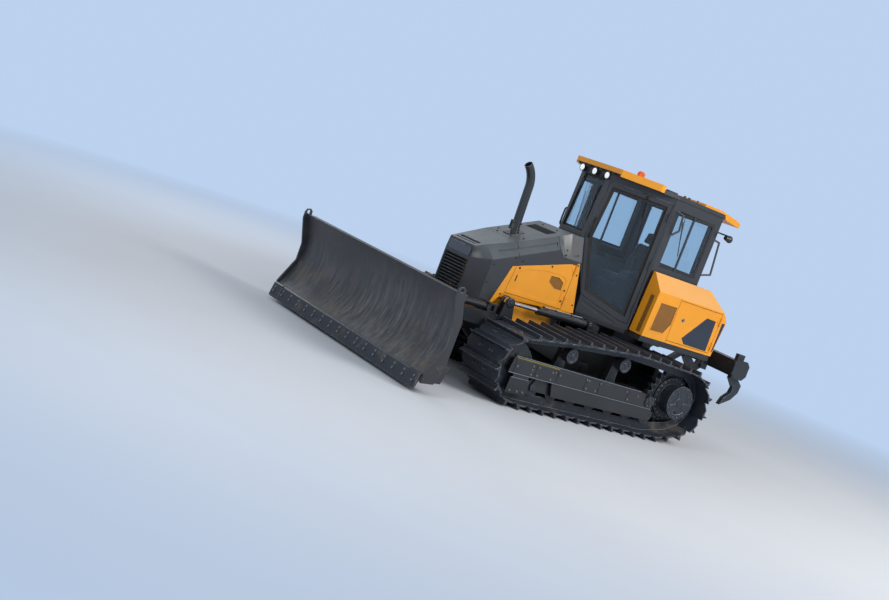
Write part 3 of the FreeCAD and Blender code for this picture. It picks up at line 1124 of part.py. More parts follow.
def grown(outline, amount):
    """Flat outline pushed outward by an amount, or inward where it is negative."""
    face = Part.Face(Part.makePolygon([V(a, b, 0) for a, b in outline + outline[:1]]))
    shape = face.makeOffset2D(amount, 2)
    return [(vertex.Point.x, vertex.Point.y) for vertex in shape.OuterWire.OrderedVertexes]


def cab_hinges():
    """Hinge parts on the left door pillar and on the left door."""
    forward, _, _ = door_frame_axes()
    along_side = DOOR_EDGE - PANEL_GAP / 2
    line = (CAB_SIDE_X + forward.x * along_side, CAB_SIDE_Y + forward.y * along_side)
    return hinge(line, forward, CAB_HINGE_Z)


def cab_shell():
    """Hollow hexagonal cab with its pillars; doorways and windows are cut through the walls."""
    outer = prism_z(CAB_PLAN, (CAB_BOTTOM, CAB_TOP))
    inner = prism_z(inset_plan(CAB_PLAN, CAB_WALL), (CAB_BOTTOM + 60.0, CAB_TOP - ROOF_T))
    lean = prism_y([(CAB_FRONT_X, WINDSHIELD_BOTTOM_Z), (CAB_FRONT_X + 50.0, WINDSHIELD_BOTTOM_Z),
                    (CAB_FRONT_X + 50.0, CAB_TOP + 5.0),
                    (WINDSHIELD_TOP_X, CAB_TOP + 5.0)], (-400.0, 400.0))
    toe = prism_y([(CAB_FRONT_X + 5.0, WINDSHIELD_BOTTOM_Z - 30.0), (CAB_FRONT_X + 5.0, CAB_BOTTOM - 5.0),
                   (-60.0, CAB_BOTTOM - 5.0), (-52.0, 1350.0),
                   (CAB_FRONT_X - 4.0, WINDSHIELD_BOTTOM_Z - 30.0)], (-500.0, 500.0))
    shell = outer.cut(inner).cut(lean)
    doorway = door_prism(grown(DOOR_OUTLINE, PANEL_GAP), (-CAB_WALL - 40.0, 30.0))
    side_window = box((-1440.0, -735.0), (CAB_REAR_HALF - 120.0, CAB_SIDE_Y + 40.0), (2010.0, 2730.0))
    rear_window = box((CAB_REAR_X - 20.0, CAB_REAR_X + 120.0), (-REAR_WINDOW_HALF, REAR_WINDOW_HALF),
                      (2010.0, 2730.0))
    windshield = box((-40.0, CAB_FRONT_X + 60.0), (-190.0, 190.0), (2080.0, 2775.0))
    shell = shell.cut(doorway).cut(mirrored(doorway)).cut(side_window).cut(mirrored(side_window))
    shell = shell.cut(rear_window).cut(windshield)
    toe_plate = prism_y([(-52.0, 1350.0), (CAB_FRONT_X - 4.0, 2005.0), (CAB_FRONT_X - 44.0, 2005.0),
                         (-92.0, 1350.0),
                         (-100.0, CAB_BOTTOM + 55.0), (-60.0, CAB_BOTTOM + 55.0)], (-400.0, 400.0))
    sill = door_prism(SILL_RECESS, (-8.0, 5.0))
    shell = shell.cut(sill).cut(mirrored(sill))
    keep = prism_z(inset_plan(CAB_PLAN, 20.0), (CAB_BOTTOM, CAB_TOP))
    doorways = [doorway, mirrored(doorway)]
    toe_plate = toe_plate.common(keep).cut(doorways[0]).cut(doorways[1])
    hinges = [half for part in cab_hinges()[0] for half in both_sides(part)]
    divider = both_sides(box((DIVIDER_X - 14.0, DIVIDER_X + 14.0),
                             (CAB_REAR_HALF + GLASS, CAB_REAR_HALF + GLASS + 14.0),
                             (2005.0, 2735.0)))
    return fused([shell.cut(toe), toe_plate] + hinges + divider)


def build_cab():
    """Cab shell, glass, doors and roof."""
    NODES["cab_shell"] = cab_shell()
    forward, outward, _ = door_frame_axes()
    frame = door_prism(DOOR_OUTLINE, (-DOOR_T, 0.0)).cut(door_prism(DOOR_GLASS, (-DOOR_T - 5.0, 5.0)))
    frame = fused([frame] + cab_hinges()[1])
    pane = door_prism(grown(DOOR_GLASS, -SEAT), (-DOOR_T / 2 - GLASS / 2, -DOOR_T / 2 + GLASS / 2))
    handed("cab_door", frame)
    handed("cab_door_glass", pane)
    side_pane = box((-1440.0 + SEAT, -735.0 - SEAT), (CAB_REAR_HALF, CAB_REAR_HALF + GLASS),
                    (2010.0 + SEAT, 2730.0 - SEAT))
    rear_pane = box((CAB_REAR_X + 24.0, CAB_REAR_X + 24.0 + GLASS),
                    (-REAR_WINDOW_HALF + SEAT, REAR_WINDOW_HALF - SEAT),
                    (2010.0 + SEAT, 2730.0 - SEAT))
    lean = (CAB_FRONT_X - WINDSHIELD_TOP_X) / (CAB_TOP + 5.0 - WINDSHIELD_BOTTOM_Z)
    def pane_x(z):
        return CAB_FRONT_X - (z - WINDSHIELD_BOTTOM_Z) * lean - 24.0
    low, high = 2080.0 + SEAT, 2775.0 - SEAT
    front_pane = prism_y([(pane_x(low), low), (pane_x(high), high), (pane_x(high) - GLASS, high),
                          (pane_x(low) - GLASS, low)], (-190.0 + SEAT, 190.0 - SEAT))
    NODES["cab_glass"] = group(both_sides(side_pane) + [rear_pane, front_pane])


def roof():
    """Roof cap and the two yellow visors that overhang the front and the rear."""
    z = CAB_TOP
    plan = [(60.0, 390.0), (-60.0, 470.0), (-400.0, 715.0), (CAB_SIDE_X - 20.0, CAB_SIDE_Y + 10.0),
            (CAB_REAR_X + 5.0, CAB_REAR_HALF + 15.0)]
    plan += [(x, -y) for x, y in reversed(plan)]
    cap = prism_z(plan, (z, z + 48.0))
    ridge = prism_z([(-500.0, 500.0), (-1150.0, 500.0), (-1150.0, -500.0), (-500.0, -500.0)],
                    (z + 47.0, z + 62.0))
    top = z + 48.0
    fittings = [bar(V(-340.0, 640.0, top + 12.0), V(-440.0, 655.0, top + 12.0), 13.0),
                box((-640.0, -475.0), (640.0, 690.0), (top - 1.0, top + 20.0)),
                bar(V(-770.0, 690.0, top - 1.0), V(-770.0, 690.0, top + 26.0), 15.0),
                bar(V(-850.0, 690.0, top - 1.0), V(-850.0, 690.0, top + 26.0), 15.0),
                bar(V(-1010.0, 690.0, top - 1.0), V(-1010.0, 690.0, top + 34.0), 9.0)]
    NODES["roof_cap"] = fused([cap, ridge] + [half for piece in fittings for half in both_sides(piece)])
    front_plan = [(75.0, 397.0), (-5.0, 455.0), (-300.0, 745.0), (-330.0, 745.0)]
    front_plan += [(x, -y) for x, y in reversed(front_plan)]
    visor = prism_z(front_plan, (z + 48.0, z + 92.0))
    lip = prism_z([(75.0, 397.0), (-5.0, 455.0), (-300.0, 745.0), (-330.0, 745.0), (-330.0, 775.0),
                   (-270.0, 775.0),
                   (25.0, 480.0), (100.0, 420.0)], (z + 5.0, z + 92.0))
    front_lip = box((75.0, 110.0), (-410.0, 410.0), (z + VISOR_UNDER, z + 92.0))
    front = fused([visor, lip, mirrored(lip), front_lip])
    rear = prism_y([(-1165.0, z + 48.0), (-1165.0, z + 80.0), (-1500.0, z + 82.0), (-1840.0, z + 30.0),
                    (-1895.0, z - 5.0),
                    (-1880.0, z - 45.0), (-1600.0, z - 10.0), (-1560.0, z + 48.0)],
                   (10.0 - CAB_REAR_HALF, CAB_REAR_HALF - 10.0))
    NODES["roof_visors"] = group([front, rear])


def seat():
    """Operator's seat: cushion, back rest and head rest as one soft solid."""
    x0, x1 = SEAT_X
    cushion = box(SEAT_X, (-SEAT_HALF, SEAT_HALF), SEAT_Z)
    back = prism_y([(x0, SEAT_Z[0]), (x0 + 120.0, SEAT_Z[0]), (x0 + 50.0, SEAT_BACK_TOP - 120.0),
                    (x0 - 60.0, SEAT_BACK_TOP - 120.0)], (-SEAT_HALF + 15.0, SEAT_HALF - 15.0))
    head = prism_y([(x0 - 56.0, SEAT_BACK_TOP - 125.0), (x0 + 44.0, SEAT_BACK_TOP - 125.0),
                    (x0 + 20.0, SEAT_BACK_TOP + 40.0),
                    (x0 - 70.0, SEAT_BACK_TOP + 40.0)], (-130.0, 130.0))
    return fused([cushion, back, head])


def seat_base():
    """Suspension box that carries the seat."""
    x0, x1 = SEAT_X
    return fused([box((x0 + 60.0, x1 - 60.0), (-190.0, 190.0), (FLOOR_Z, SEAT_Z[0] - 60.0)),
                  box((x0 + 10.0, x1 - 10.0), (-220.0, 220.0), (SEAT_Z[0] - 61.0, SEAT_Z[0] - SEAT))])


def controls():
    """Side consoles with arm rests and levers, and the front pedestal with its display and pedals."""
    solids = []
    for side in (-1, 1):
        y = sorted((side * CONSOLE_Y[0], side * CONSOLE_Y[1]))
        middle = side * (CONSOLE_Y[0] + CONSOLE_Y[1]) / 2
        body = prism_y([(-1280.0, FLOOR_Z), (-700.0, FLOOR_Z), (-560.0, 1700.0), (-560.0, 1800.0),
                        (-760.0, 1850.0),
                        (-1280.0, 1850.0)], y)
        rest = box((-1240.0, -860.0), sorted((middle - 55.0, middle + 55.0)), (1849.0, 1905.0))
        lever = bar(V(-655.0, middle, 1790.0), V(-640.0, middle, 1960.0), 14.0)
        knob = bar(V(-642.0, middle, 1925.0), V(-634.0, middle, 2015.0), 27.0)
        solids.append(fused([body, rest, lever, knob]))
    pedestal = prism_y([(-330.0, FLOOR_Z), (-190.0, FLOOR_Z), (-115.0, 1760.0), (-130.0, 1960.0),
                        (-250.0, 1960.0),
                        (-215.0, 1760.0)], (-150.0, 150.0))
    display = box((-290.0, -245.0), (-120.0, 120.0), (1900.0, 2060.0))
    pedals = [box((-420.0, -325.0), sorted((s * 40.0, s * 120.0)), (FLOOR_Z, FLOOR_Z + 90.0)) for s in (-1,
                                                                                                        1)]
    solids.append(fused([pedestal, display] + pedals))
    return group(solids)


def work_lamps():
    """Three round lamps under the front visor."""
    x = CAB_FRONT_X - 50.0
    lamps = []
    for y in (-LAMP_Y, 0.0, LAMP_Y):
        bowl = Part.makeCone(LAMP_R * 0.6, LAMP_R, 24.0, V(x - 5.5, y, LAMP_Z), V(1, 0, 0))
        rim = bar(V(x + 18.0, y, LAMP_Z), V(x + 38.0, y, LAMP_Z), LAMP_R)
        face = bar(V(x + 33.0, y, LAMP_Z), V(x + 45.0, y, LAMP_Z), LAMP_R - 6.0)
        body = fused([bowl, rim]).cut(face)
        stalk = box((x - 4.0, x + 24.0), (y - 14.0, y + 14.0), (LAMP_Z + 20.0, CAB_TOP + VISOR_UNDER - SEAT))
        lamps.append(fused([body, stalk]))
    return group(lamps)


def rear_lamps():
    """A lamp on a bracket at each rear corner of the cab."""
    y, z = REAR_LAMP
    x = CAB_REAR_X - 75.0
    shade = Part.makeCone(26.0, 44.0, 70.0, V(x, y, z), V(-1, 0, 0))
    rim = bar(V(x - 70.0, y, z), V(x - 92.0, y, z), 46.0)
    arm = fused([box((x - 25.0, CAB_REAR_X), (CAB_REAR_HALF - 45.0, CAB_REAR_HALF - 5.0),
                     (z + 24.0, z + 42.0)),
                 box((x - 45.0, x - 5.0), (CAB_REAR_HALF - 45.0, y + 12.0), (z + 24.0, z + 42.0))])
    return group(both_sides(fused([shade, rim, arm])))


def beacon():
    """Turning warning lamp on the roof: a low foot and a domed lens."""
    x, y, radius = BEACON
    foot_z = CAB_TOP + 48.0
    foot = bar(V(x, y, foot_z), V(x, y, foot_z + 22.0), radius + 10.0)
    top = foot_z + BEACON_HEIGHT
    lens_top = top - radius * 0.4
    lens = bar(V(x, y, foot_z + 21.0), V(x, y, lens_top), radius)
    cap = Part.makeCone(radius, radius * 0.55, top - lens_top, V(x, y, lens_top), UP)
    return fused([foot, lens, cap])


def bent_rail(points):
    """Round grab rail through a few points, with a ball at each bend."""
    bars = [bar(a, b, RAIL_R) for a, b in zip(points, points[1:])]
    bends = [Part.makeSphere(RAIL_R, point) for point in points[1:-1]]
    return fused(bars + bends)


def grab_rails():
    """Hand rails: one on each door pillar and one at each rear corner of the cab."""
    y = CAB_SIDE_Y - 4.0
    pillar = bent_rail([V(-690.0, y - 6.0, 2715.0), V(-740.0, y + 62.0, 2690.0), V(-770.0, y + 62.0, 2500.0),
                        V(-712.0, y - 6.0, 2400.0)])
    rear_y = CAB_REAR_HALF - 16.0
    corner = bent_rail([V(CAB_REAR_X + 6.0, rear_y, 2560.0), V(CAB_REAR_X - 85.0, rear_y + 20.0, 2545.0),
                        V(CAB_REAR_X - 150.0, rear_y + 20.0, 2130.0), V(CAB_REAR_X + 6.0, rear_y, 2085.0)])
    cab = prism_z(CAB_PLAN, (CAB_BOTTOM, CAB_TOP))
    return group(both_sides(pillar.cut(cab)) + both_sides(corner.cut(cab)))


def rear_box():
    """Left rear housing: a sheet shell that is open where its door closes it."""
    side = [(BOX_FRONT_X, BOX_BOTTOM), (BOX_FRONT_X - 35.0, BOX_TOP), (-1715.0, BOX_TOP),
            (BOX_NOSE_X, BOX_NOSE_Z),
            (BOX_REAR_X, BOX_BOTTOM)]
    section = [(BOX_Y[0], BOX_BOTTOM), (BOX_Y[1], BOX_BOTTOM), (BOX_Y[1], BOX_SHOULDER),
               (BOX_Y[0] + 30.0, BOX_TOP),
               (BOX_Y[0], BOX_TOP)]
    whole = prism_y(side, BOX_Y).common(prism_x(section, (-2100.0, -500.0)))
    t = BOX_SKIN
    inner_side = grown(side, -t)
    inner_section = grown(section, -t)
    hollow = prism_y(inner_side, BOX_Y).common(prism_x(inner_section, (-2100.0, -500.0)))
    door_hole = prism_y(rear_door_outline(PANEL_GAP), (BOX_Y[1] - t - 5.0, BOX_Y[1] + 5.0))
    shell = whole.cut(hollow).cut(door_hole)
    shell = shell.cut(prism_y(list(BOX_VENT), (BOX_Y[1] - VENT_DEPTH, BOX_Y[1] + 5.0)))
    slant = (BOX_TOP - BOX_BOTTOM) / 35.0
    lean = [(BOX_FRONT_X - (z - BOX_BOTTOM) / slant, z) for z in FRONT_VENT_Z]
    strip = [(x + out, z) for x, z, out in ((lean[0][0], lean[0][1], -VENT_DEPTH),
                                            (lean[0][0], lean[0][1], 20.0),
                                            (lean[1][0], lean[1][1], 20.0),
                                            (lean[1][0], lean[1][1], -VENT_DEPTH))]
    shell = shell.cut(prism_y(strip, FRONT_VENT_Y))
    seam = box((BOX_SEAM_X + PANEL_GAP / 2, BOX_SEAM_X + PANEL_GAP), (BOX_Y[1] - 5.0, BOX_Y[1] + 5.0),
               (BOX_BOTTOM - 5.0, BOX_SHOULDER + 5.0))
    return fused([shell.cut(seam)] + rear_hinges()[0])


def rear_hinges():
    """Hinge parts on the rear housing and on its door."""
    line = (BOX_REAR_X + REAR_DOOR_RIM - PANEL_GAP / 2, BOX_Y[1])
    return hinge(line, V(1, 0, 0), REAR_HINGE_Z)


def rear_door_outline(grow=0.0):
    """Side view of the rear housing's door; grow gives the hole it closes."""
    x0, x1 = BOX_REAR_X + REAR_DOOR_RIM, BOX_SEAM_X
    low, high = BOX_BOTTOM + 35.0, BOX_SHOULDER - 25.0
    return [(x0 - grow, low - grow), (x0 - grow, high + grow), (x1 + grow, high + grow),
            (x1 + grow, low - grow)]


def rear_door():
    """Hinged door of the rear housing."""
    panel = prism_y(rear_door_outline(), (BOX_Y[1] - BOX_SKIN, BOX_Y[1]))
    return fused([panel] + rear_hinges()[1])


def fuel_tank():
    """Tank across the back between the two housings."""
    x = TANK_FRONT_X
    outline = [(x, BOX_BOTTOM), (x, BOX_TOP - 15.0), (-1715.0, BOX_TOP - 15.0),
               (BOX_NOSE_X + 8.0, BOX_NOSE_Z),
               (BOX_REAR_X + 8.0, BOX_BOTTOM)]
    return prism_y(outline, (-BOX_Y[0] + 2.0, BOX_Y[0] - 2.0))


def platform():
    """Deck under the cab and the rear housings, on the frame's four mounts."""
    outer = BOX_Y[1] - 15.0
    plan = [(-70.0, 360.0), (CAB_SIDE_X + 30.0, CAB_SIDE_Y - 5.0), (BOX_FRONT_X, outer),
            (BOX_REAR_X + 5.0, outer)]
    plan += [(x, -y) for x, y in reversed(plan)]
    deck = prism_z(plan, PLATFORM_Z)
    pad = box((BOX_REAR_X + 10.0, BOX_FRONT_X - 15.0), (BOX_Y[0] + 8.0, outer - 5.0),
              (PLATFORM_Z[1] - 1.0, BOX_BOTTOM))
    tank_pad = box((BOX_REAR_X + 10.0, TANK_FRONT_X - 5.0), (-BOX_Y[0] + 12.0, BOX_Y[0] - 12.0),
                   (PLATFORM_Z[1] - 1.0, BOX_BOTTOM))
    return fused([deck, pad, mirrored(pad), tank_pad])


def rip_pin(step):
    """Ripper pins: (at the machine, at the beam) for the lower (0) or the upper (1) links."""
    turn = math.radians(RIP_RAISE)
    machine = (RIP_LOWER_PIN[0], RIP_LOWER_PIN[1] + step * RIP_PIN_STEP)
    beam = (machine[0] - RIP_LINK * math.cos(turn), machine[1] + RIP_LINK * math.sin(turn))
    return machine, beam


def rip_cylinder_eye():
    """Where the ripper cylinder's rod drives the lower links."""
    turn = math.radians(RIP_CYL_EYE_TURN)
    return (RIP_LOWER_PIN[0] - RIP_CYL_EYE_R * math.cos(turn),
            RIP_LOWER_PIN[1] + RIP_CYL_EYE_R * math.sin(turn))


def link_bar(a, b, radius, y):
    """Flat link with a round eye at each end."""
    dx, dz = b[0] - a[0], b[1] - a[1]
    length = math.hypot(dx, dz)
    nx, nz = -dz / length * radius * 0.8, dx / length * radius * 0.8
    web = prism_y([(a[0] + nx, a[1] + nz), (b[0] + nx, b[1] + nz), (b[0] - nx, b[1] - nz),
                   (a[0] - nx, a[1] - nz)], y)
    return fused([web, bar_y(a[0], a[1], radius, y), bar_y(b[0], b[1], radius, y)])


def ripper_bracket():
    """Bracket plates on the machine's back with the pins of the links and the cylinder."""
    low, high = rip_pin(0)[0], rip_pin(1)[0]
    x_frame = FRAME_X[0] + 40.0
    pieces = []
    outer = [(x_frame, 470.0), (low[0] - 50.0, 470.0), (low[0] - 70.0, low[1]),
             (low[0] - 50.0, low[1] + 70.0),
             (x_frame, 800.0)]
    inner = [(x_frame, 560.0), (high[0] - 40.0, high[1] - 60.0), (high[0] - 60.0, high[1]),
             (high[0] - 30.0, high[1] + 55.0),
             (x_frame, 880.0)]
    plate = 24.0
    back = box((FRAME_X[0] - 40.0, FRAME_X[0]), (-RIP_LOWER_Y[1] - 30.0, RIP_LOWER_Y[1] + 30.0),
               (470.0, 890.0))
    slot = box((FRAME_X[0] - 60.0, FRAME_X[0] + 10.0), (-44.0, 44.0), (700.0, 1000.0))
    pieces.append(back.cut(slot))
    for side in (-1, 1):
        for y0 in (RIP_LOWER_Y[0] - plate - 6.0, RIP_LOWER_Y[1] + 6.0):
            y = sorted((side * y0, side * (y0 + plate)))
            pieces.append(prism_y([p if p[0] != x_frame else (FRAME_X[0] - 20.0, p[1]) for p in outer], y))
        for y0 in (RIP_UPPER_Y[0] - plate - 6.0, RIP_UPPER_Y[1] + 6.0):
            y = sorted((side * y0, side * (y0 + plate)))
            pieces.append(prism_y([p if p[0] != x_frame else (FRAME_X[0] - 20.0, p[1]) for p in inner], y))
        y = sorted((side * (RIP_LOWER_Y[0] - plate - 6.0), side * (RIP_LOWER_Y[1] + plate + 6.0)))
        pieces.append(bar_y(low[0], low[1], RIP_PIN_R, y))
        y = sorted((side * (RIP_UPPER_Y[0] - plate - 6.0), side * (RIP_UPPER_Y[1] + plate + 6.0)))
        pieces.append(bar_y(high[0], high[1], RIP_PIN_R, y))
    bx, bz = RIP_CYL_BASE
    for side in (-1, 1):
        y = sorted((side * 44.0, side * 62.0))
        pieces.append(prism_y([(FRAME_X[0] - 10.0, 650.0), (bx - 40.0, bz - 30.0), (bx - 40.0, bz + 36.0),
                               (FRAME_X[0] - 10.0, 880.0)], y))
    pieces.append(bar_y(bx, bz, RIP_PIN_R, (-62.0, 62.0)))
    return fused(pieces)


def build_ripper():
    """Bracket, links, cylinder and the beam with its three shanks."""
    NODES["ripper_bracket"] = ripper_bracket()
    low_machine, low_beam = rip_pin(0)
    high_machine, high_beam = rip_pin(1)
    eye = rip_cylinder_eye()
    turn = math.radians(RIP_RAISE)
    tube_at = (low_machine[0] - RIP_TUBE_AT * math.cos(turn), low_machine[1] + RIP_TUBE_AT * math.sin(turn))
    pieces = []
    for side in (-1, 1):
        y = sorted((side * RIP_LOWER_Y[0], side * RIP_LOWER_Y[1]))
        pieces.append(link_bar(low_machine, low_beam, 58.0, y))
    pieces.append(bar_y(tube_at[0], tube_at[1], 44.0, (-RIP_LOWER_Y[0] - 5.0, RIP_LOWER_Y[0] + 5.0)))
    for side in (-1, 1):
        y = sorted((side * 44.0, side * 60.0))
        pieces.append(link_bar(tube_at, eye, 44.0, y))
        head = sorted((side * 59.0, side * (60.0 + HEAD)))
        pieces.append(bar_y(eye[0], eye[1], RIP_PIN_R + 6.0, head))
    lower = fused(pieces)
    for x, z in (low_machine, low_beam):
        lower = lower.cut(bar_y(x, z, RIP_PIN_R + RUN_FIT, (-600.0, -400.0)))
        lower = lower.cut(bar_y(x, z, RIP_PIN_R + RUN_FIT, (400.0, 600.0)))
    NODES["ripper_lower_links"] = lower
    upper = []
    for side in (-1, 1):
        y = sorted((side * RIP_UPPER_Y[0], side * RIP_UPPER_Y[1]))
        upper.append(link_bar(high_machine, high_beam, 50.0, y))
    upper = group(upper)
    for x, z in (high_machine, high_beam):
        upper = upper.cut(bar_y(x, z, RIP_PIN_R + RUN_FIT, (-600.0, 600.0)))
    NODES["ripper_upper_links"] = upper
    y = (-38.0, 38.0)
    NODES["ripper_cylinder"] = cylinder_barrel(RIP_CYL_BASE, eye, RIP_BARREL_R, RIP_GLAND_AT, y, RIP_PIN_R,
                                               RIP_ROD_R)
    NODES["ripper_rod"] = cylinder_rod(RIP_CYL_BASE, eye, RIP_ROD_R, RIP_GLAND_AT, y, RIP_PIN_R, RIP_REACH)
    beam = box(BEAM_X, (-BEAM_HALF, BEAM_HALF), BEAM_Z)
    ends = prism_y([(BEAM_X[0] - 20.0, BEAM_Z[0] + 40.0), (BEAM_X[0] + 40.0, BEAM_Z[0] - 20.0),
                    (BEAM_X[1] - 40.0, BEAM_Z[0] - 20.0),
                    (BEAM_X[1] + 30.0, BEAM_Z[0] + 50.0), (BEAM_X[1] + 30.0, BEAM_Z[1] - 30.0),
                    (BEAM_X[1] - 30.0, BEAM_Z[1] + 25.0),
                    (BEAM_X[0] + 40.0, BEAM_Z[1] + 25.0), (BEAM_X[0] - 20.0, BEAM_Z[1] - 30.0)],
                   (BEAM_HALF - 5.0, BEAM_HALF + 20.0))
    pieces = [beam] + both_sides(ends)
    plate = 22.0
    for pin, centres in ((low_beam, RIP_LOWER_Y), (high_beam, RIP_UPPER_Y)):
        ear = [(BEAM_X[1] - 10.0, pin[1] - 60.0), (pin[0] + 20.0, pin[1] - 55.0), (pin[0] + 50.0, pin[1]),
               (pin[0] + 20.0, pin[1] + 55.0), (BEAM_X[1] - 10.0, pin[1] + 60.0)]
        for side in (-1, 1):
            for y0 in (centres[0] - plate - 6.0, centres[1] + 6.0):
                y = sorted((side * y0, side * (y0 + plate)))
                pieces.append(prism_y(ear, y))
            y = sorted((side * (centres[0] - plate - 6.0), side * (centres[1] + plate + 6.0)))
            pieces.append(bar_y(pin[0], pin[1], RIP_PIN_R, y))
    beam = fused(pieces)
    shank = [(-2700.0, 1300.0), (-2700.0, 1000.0), (-2838.0, 905.0), (-2830.0, 800.0), (-2740.0, 690.0),
             (-2560.0, 590.0),
             (-2600.0, 690.0), (-2690.0, 770.0), (-2705.0, 850.0), (-2580.0, 960.0), (-2580.0, 1300.0)]
    shanks = []
    for y in SHANK_Y:
        shank_y = (y - SHANK_T / 2, y + SHANK_T / 2)
        pocket = box((-2700.0 - SEAT, -2580.0 + SEAT), (shank_y[0] - SEAT, shank_y[1] + SEAT),
                     (BEAM_Z[0] - 50.0, BEAM_Z[1] + 50.0))
        beam = beam.cut(pocket)
        shanks.append(prism_y(shank, shank_y))
    NODES["ripper_beam"] = beam
    NODES["ripper_shanks"] = group(shanks)


def build_undercarriage():
    """Tracks, wheels and track frames, drawn for the left side and mirrored."""
    handed("track", track())
    paired("sprockets", sprocket())
    paired("idlers", idler())
    paired("track_rollers", track_rollers())
    paired("carrier_rollers", carrier_rollers())
    paired("track_frames", track_frame())


def build_front():
    """Push frame, lift, angle and tilt cylinders, and the blade."""
    NODES["c_frame"] = c_frame()
    y = (LIFT_Y - EYE_HALF, LIFT_Y + EYE_HALF)
    handed("lift_cylinder", cylinder_barrel(LIFT_BASE, LIFT_EYE, LIFT_BARREL_R, LIFT_GLAND_AT, y, PIN_R,
                                            LIFT_ROD_R))
    handed("lift_rod", cylinder_rod(LIFT_BASE, LIFT_EYE, LIFT_ROD_R, LIFT_GLAND_AT, y, PIN_R, LIFT_REACH))
    barrel, rod = upright_cylinder_pair(V(*ANGLE_BASE), V(*ANGLE_EYE), ANGLE_BARREL_R, ANGLE_ROD_R,
                                        ANGLE_GLAND_AT,
                                        PIN_R, ANGLE_REACH)
    handed("angle_cylinder", barrel)
    handed("angle_rod", rod)
    NODES["blade_carrier"] = blade_carrier()
    NODES["tilt_cylinder"], NODES["tilt_rod"] = tilt_cylinder()
    NODES["blade"] = blade()
    NODES["blade_edge"] = blade_edge()
    paired("blade_ends", blade_end())


def build_body():
    """Frame, engine, hood, doors, exhaust, cab and rear housings."""
    NODES["main_frame"] = main_frame()
    NODES["engine_block"] = box((250.0, 1250.0), (-RAIL_Y[0] + 30.0, RAIL_Y[0] - 30.0),
                                (RAIL_Z[0] + 180.0, 1400.0))
    NODES["nose"] = nose()
    NODES["grille"] = grille()
    NODES["hood"] = hood()
    paired("side_panels", side_panels())
    paired("lift_brackets", lift_bracket())
    handed("engine_door", engine_door())
    NODES["exhaust"] = exhaust()
    build_cab()
    roof()
    NODES["seat"] = seat()
    NODES["seat_base"] = seat_base()
    NODES["controls"] = controls()
    NODES["work_lamps"] = work_lamps()
    NODES["rear_lamps"] = rear_lamps()
    NODES["beacon"] = beacon()
    NODES["grab_rails"] = grab_rails()
    NODES["platform"] = platform()
    paired("rear_boxes", rear_box())
    handed("rear_door", rear_door())
    NODES["fuel_tank"] = fuel_tank()


def main():
    """Build every sub-part and write it out."""
    build_undercarriage()
    build_body()
    build_front()
    build_ripper()
    os.makedirs("parts", exist_ok=True)
    for name, shape in sorted(NODES.items()):
        shape.exportStep("parts/" + name + ".step")
        print(name, len(shape.Solids), shape.isValid())


main()
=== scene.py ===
"""Looks of the bulldozer: materials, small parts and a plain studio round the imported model."""
import json
import math

import bmesh
import bpy
from mathutils import Matrix, Vector


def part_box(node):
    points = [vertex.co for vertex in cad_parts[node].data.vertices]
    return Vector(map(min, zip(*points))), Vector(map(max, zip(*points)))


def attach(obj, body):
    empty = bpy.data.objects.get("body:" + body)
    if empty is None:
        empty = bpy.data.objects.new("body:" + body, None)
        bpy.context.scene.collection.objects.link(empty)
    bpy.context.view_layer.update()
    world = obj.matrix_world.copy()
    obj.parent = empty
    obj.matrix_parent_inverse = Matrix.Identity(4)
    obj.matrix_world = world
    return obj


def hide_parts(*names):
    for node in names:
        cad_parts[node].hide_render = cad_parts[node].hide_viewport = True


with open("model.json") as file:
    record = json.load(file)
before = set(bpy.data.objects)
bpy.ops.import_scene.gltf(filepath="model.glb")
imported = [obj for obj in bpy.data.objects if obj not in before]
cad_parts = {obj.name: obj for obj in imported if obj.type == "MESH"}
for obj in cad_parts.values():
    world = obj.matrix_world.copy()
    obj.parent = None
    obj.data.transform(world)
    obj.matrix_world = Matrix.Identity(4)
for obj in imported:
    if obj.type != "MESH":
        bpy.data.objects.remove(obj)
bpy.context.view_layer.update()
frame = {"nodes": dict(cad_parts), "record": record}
NODES = frame["nodes"]
SCENE = bpy.context.scene
SCENE.view_settings.view_transform = "Standard"


# Camera and studio

CAMERA_AT = (10.818, 11.837, 2.329)
CAMERA_RIGHT = (-0.7597, 0.5459, 0.3532)
CAMERA_UP = (0.2213, -0.2937, 0.9299)
CAMERA_BACK = (0.6114, 0.7847, 0.1024)
CAMERA_LENS = 52.53
BACKGROUND = (0.50, 0.64, 0.86, 1.0)
FLOOR_SIZE = 120.0


def make_camera():
    """Camera where the photograph was taken from, rolled as it was."""
    data = bpy.data.cameras.new("camera")
    data.lens = CAMERA_LENS
    data.sensor_width = 36.0
    data.clip_end = 500.0
    camera = bpy.data.objects.new("camera", data)
    axes = Matrix((CAMERA_RIGHT, CAMERA_UP, CAMERA_BACK)).transposed()
    camera.matrix_world = Matrix.Translation(CAMERA_AT) @ axes.to_4x4()
    SCENE.collection.objects.link(camera)
    SCENE.camera = camera


def area_light(name, place, target, size, watts, colour):
    """Soft rectangular lamp aimed at a point."""
    data = bpy.data.lights.new(name, "AREA")
    data.shape = "SQUARE"
    data.size = size
    data.energy = watts
    data.color = colour
    lamp = bpy.data.objects.new(name, data)
    place, target = Vector(place), Vector(target)
    lamp.location = place
    lamp.rotation_euler = (target - place).to_track_quat("-Z", "Y").to_euler()
    SCENE.collection.objects.link(lamp)


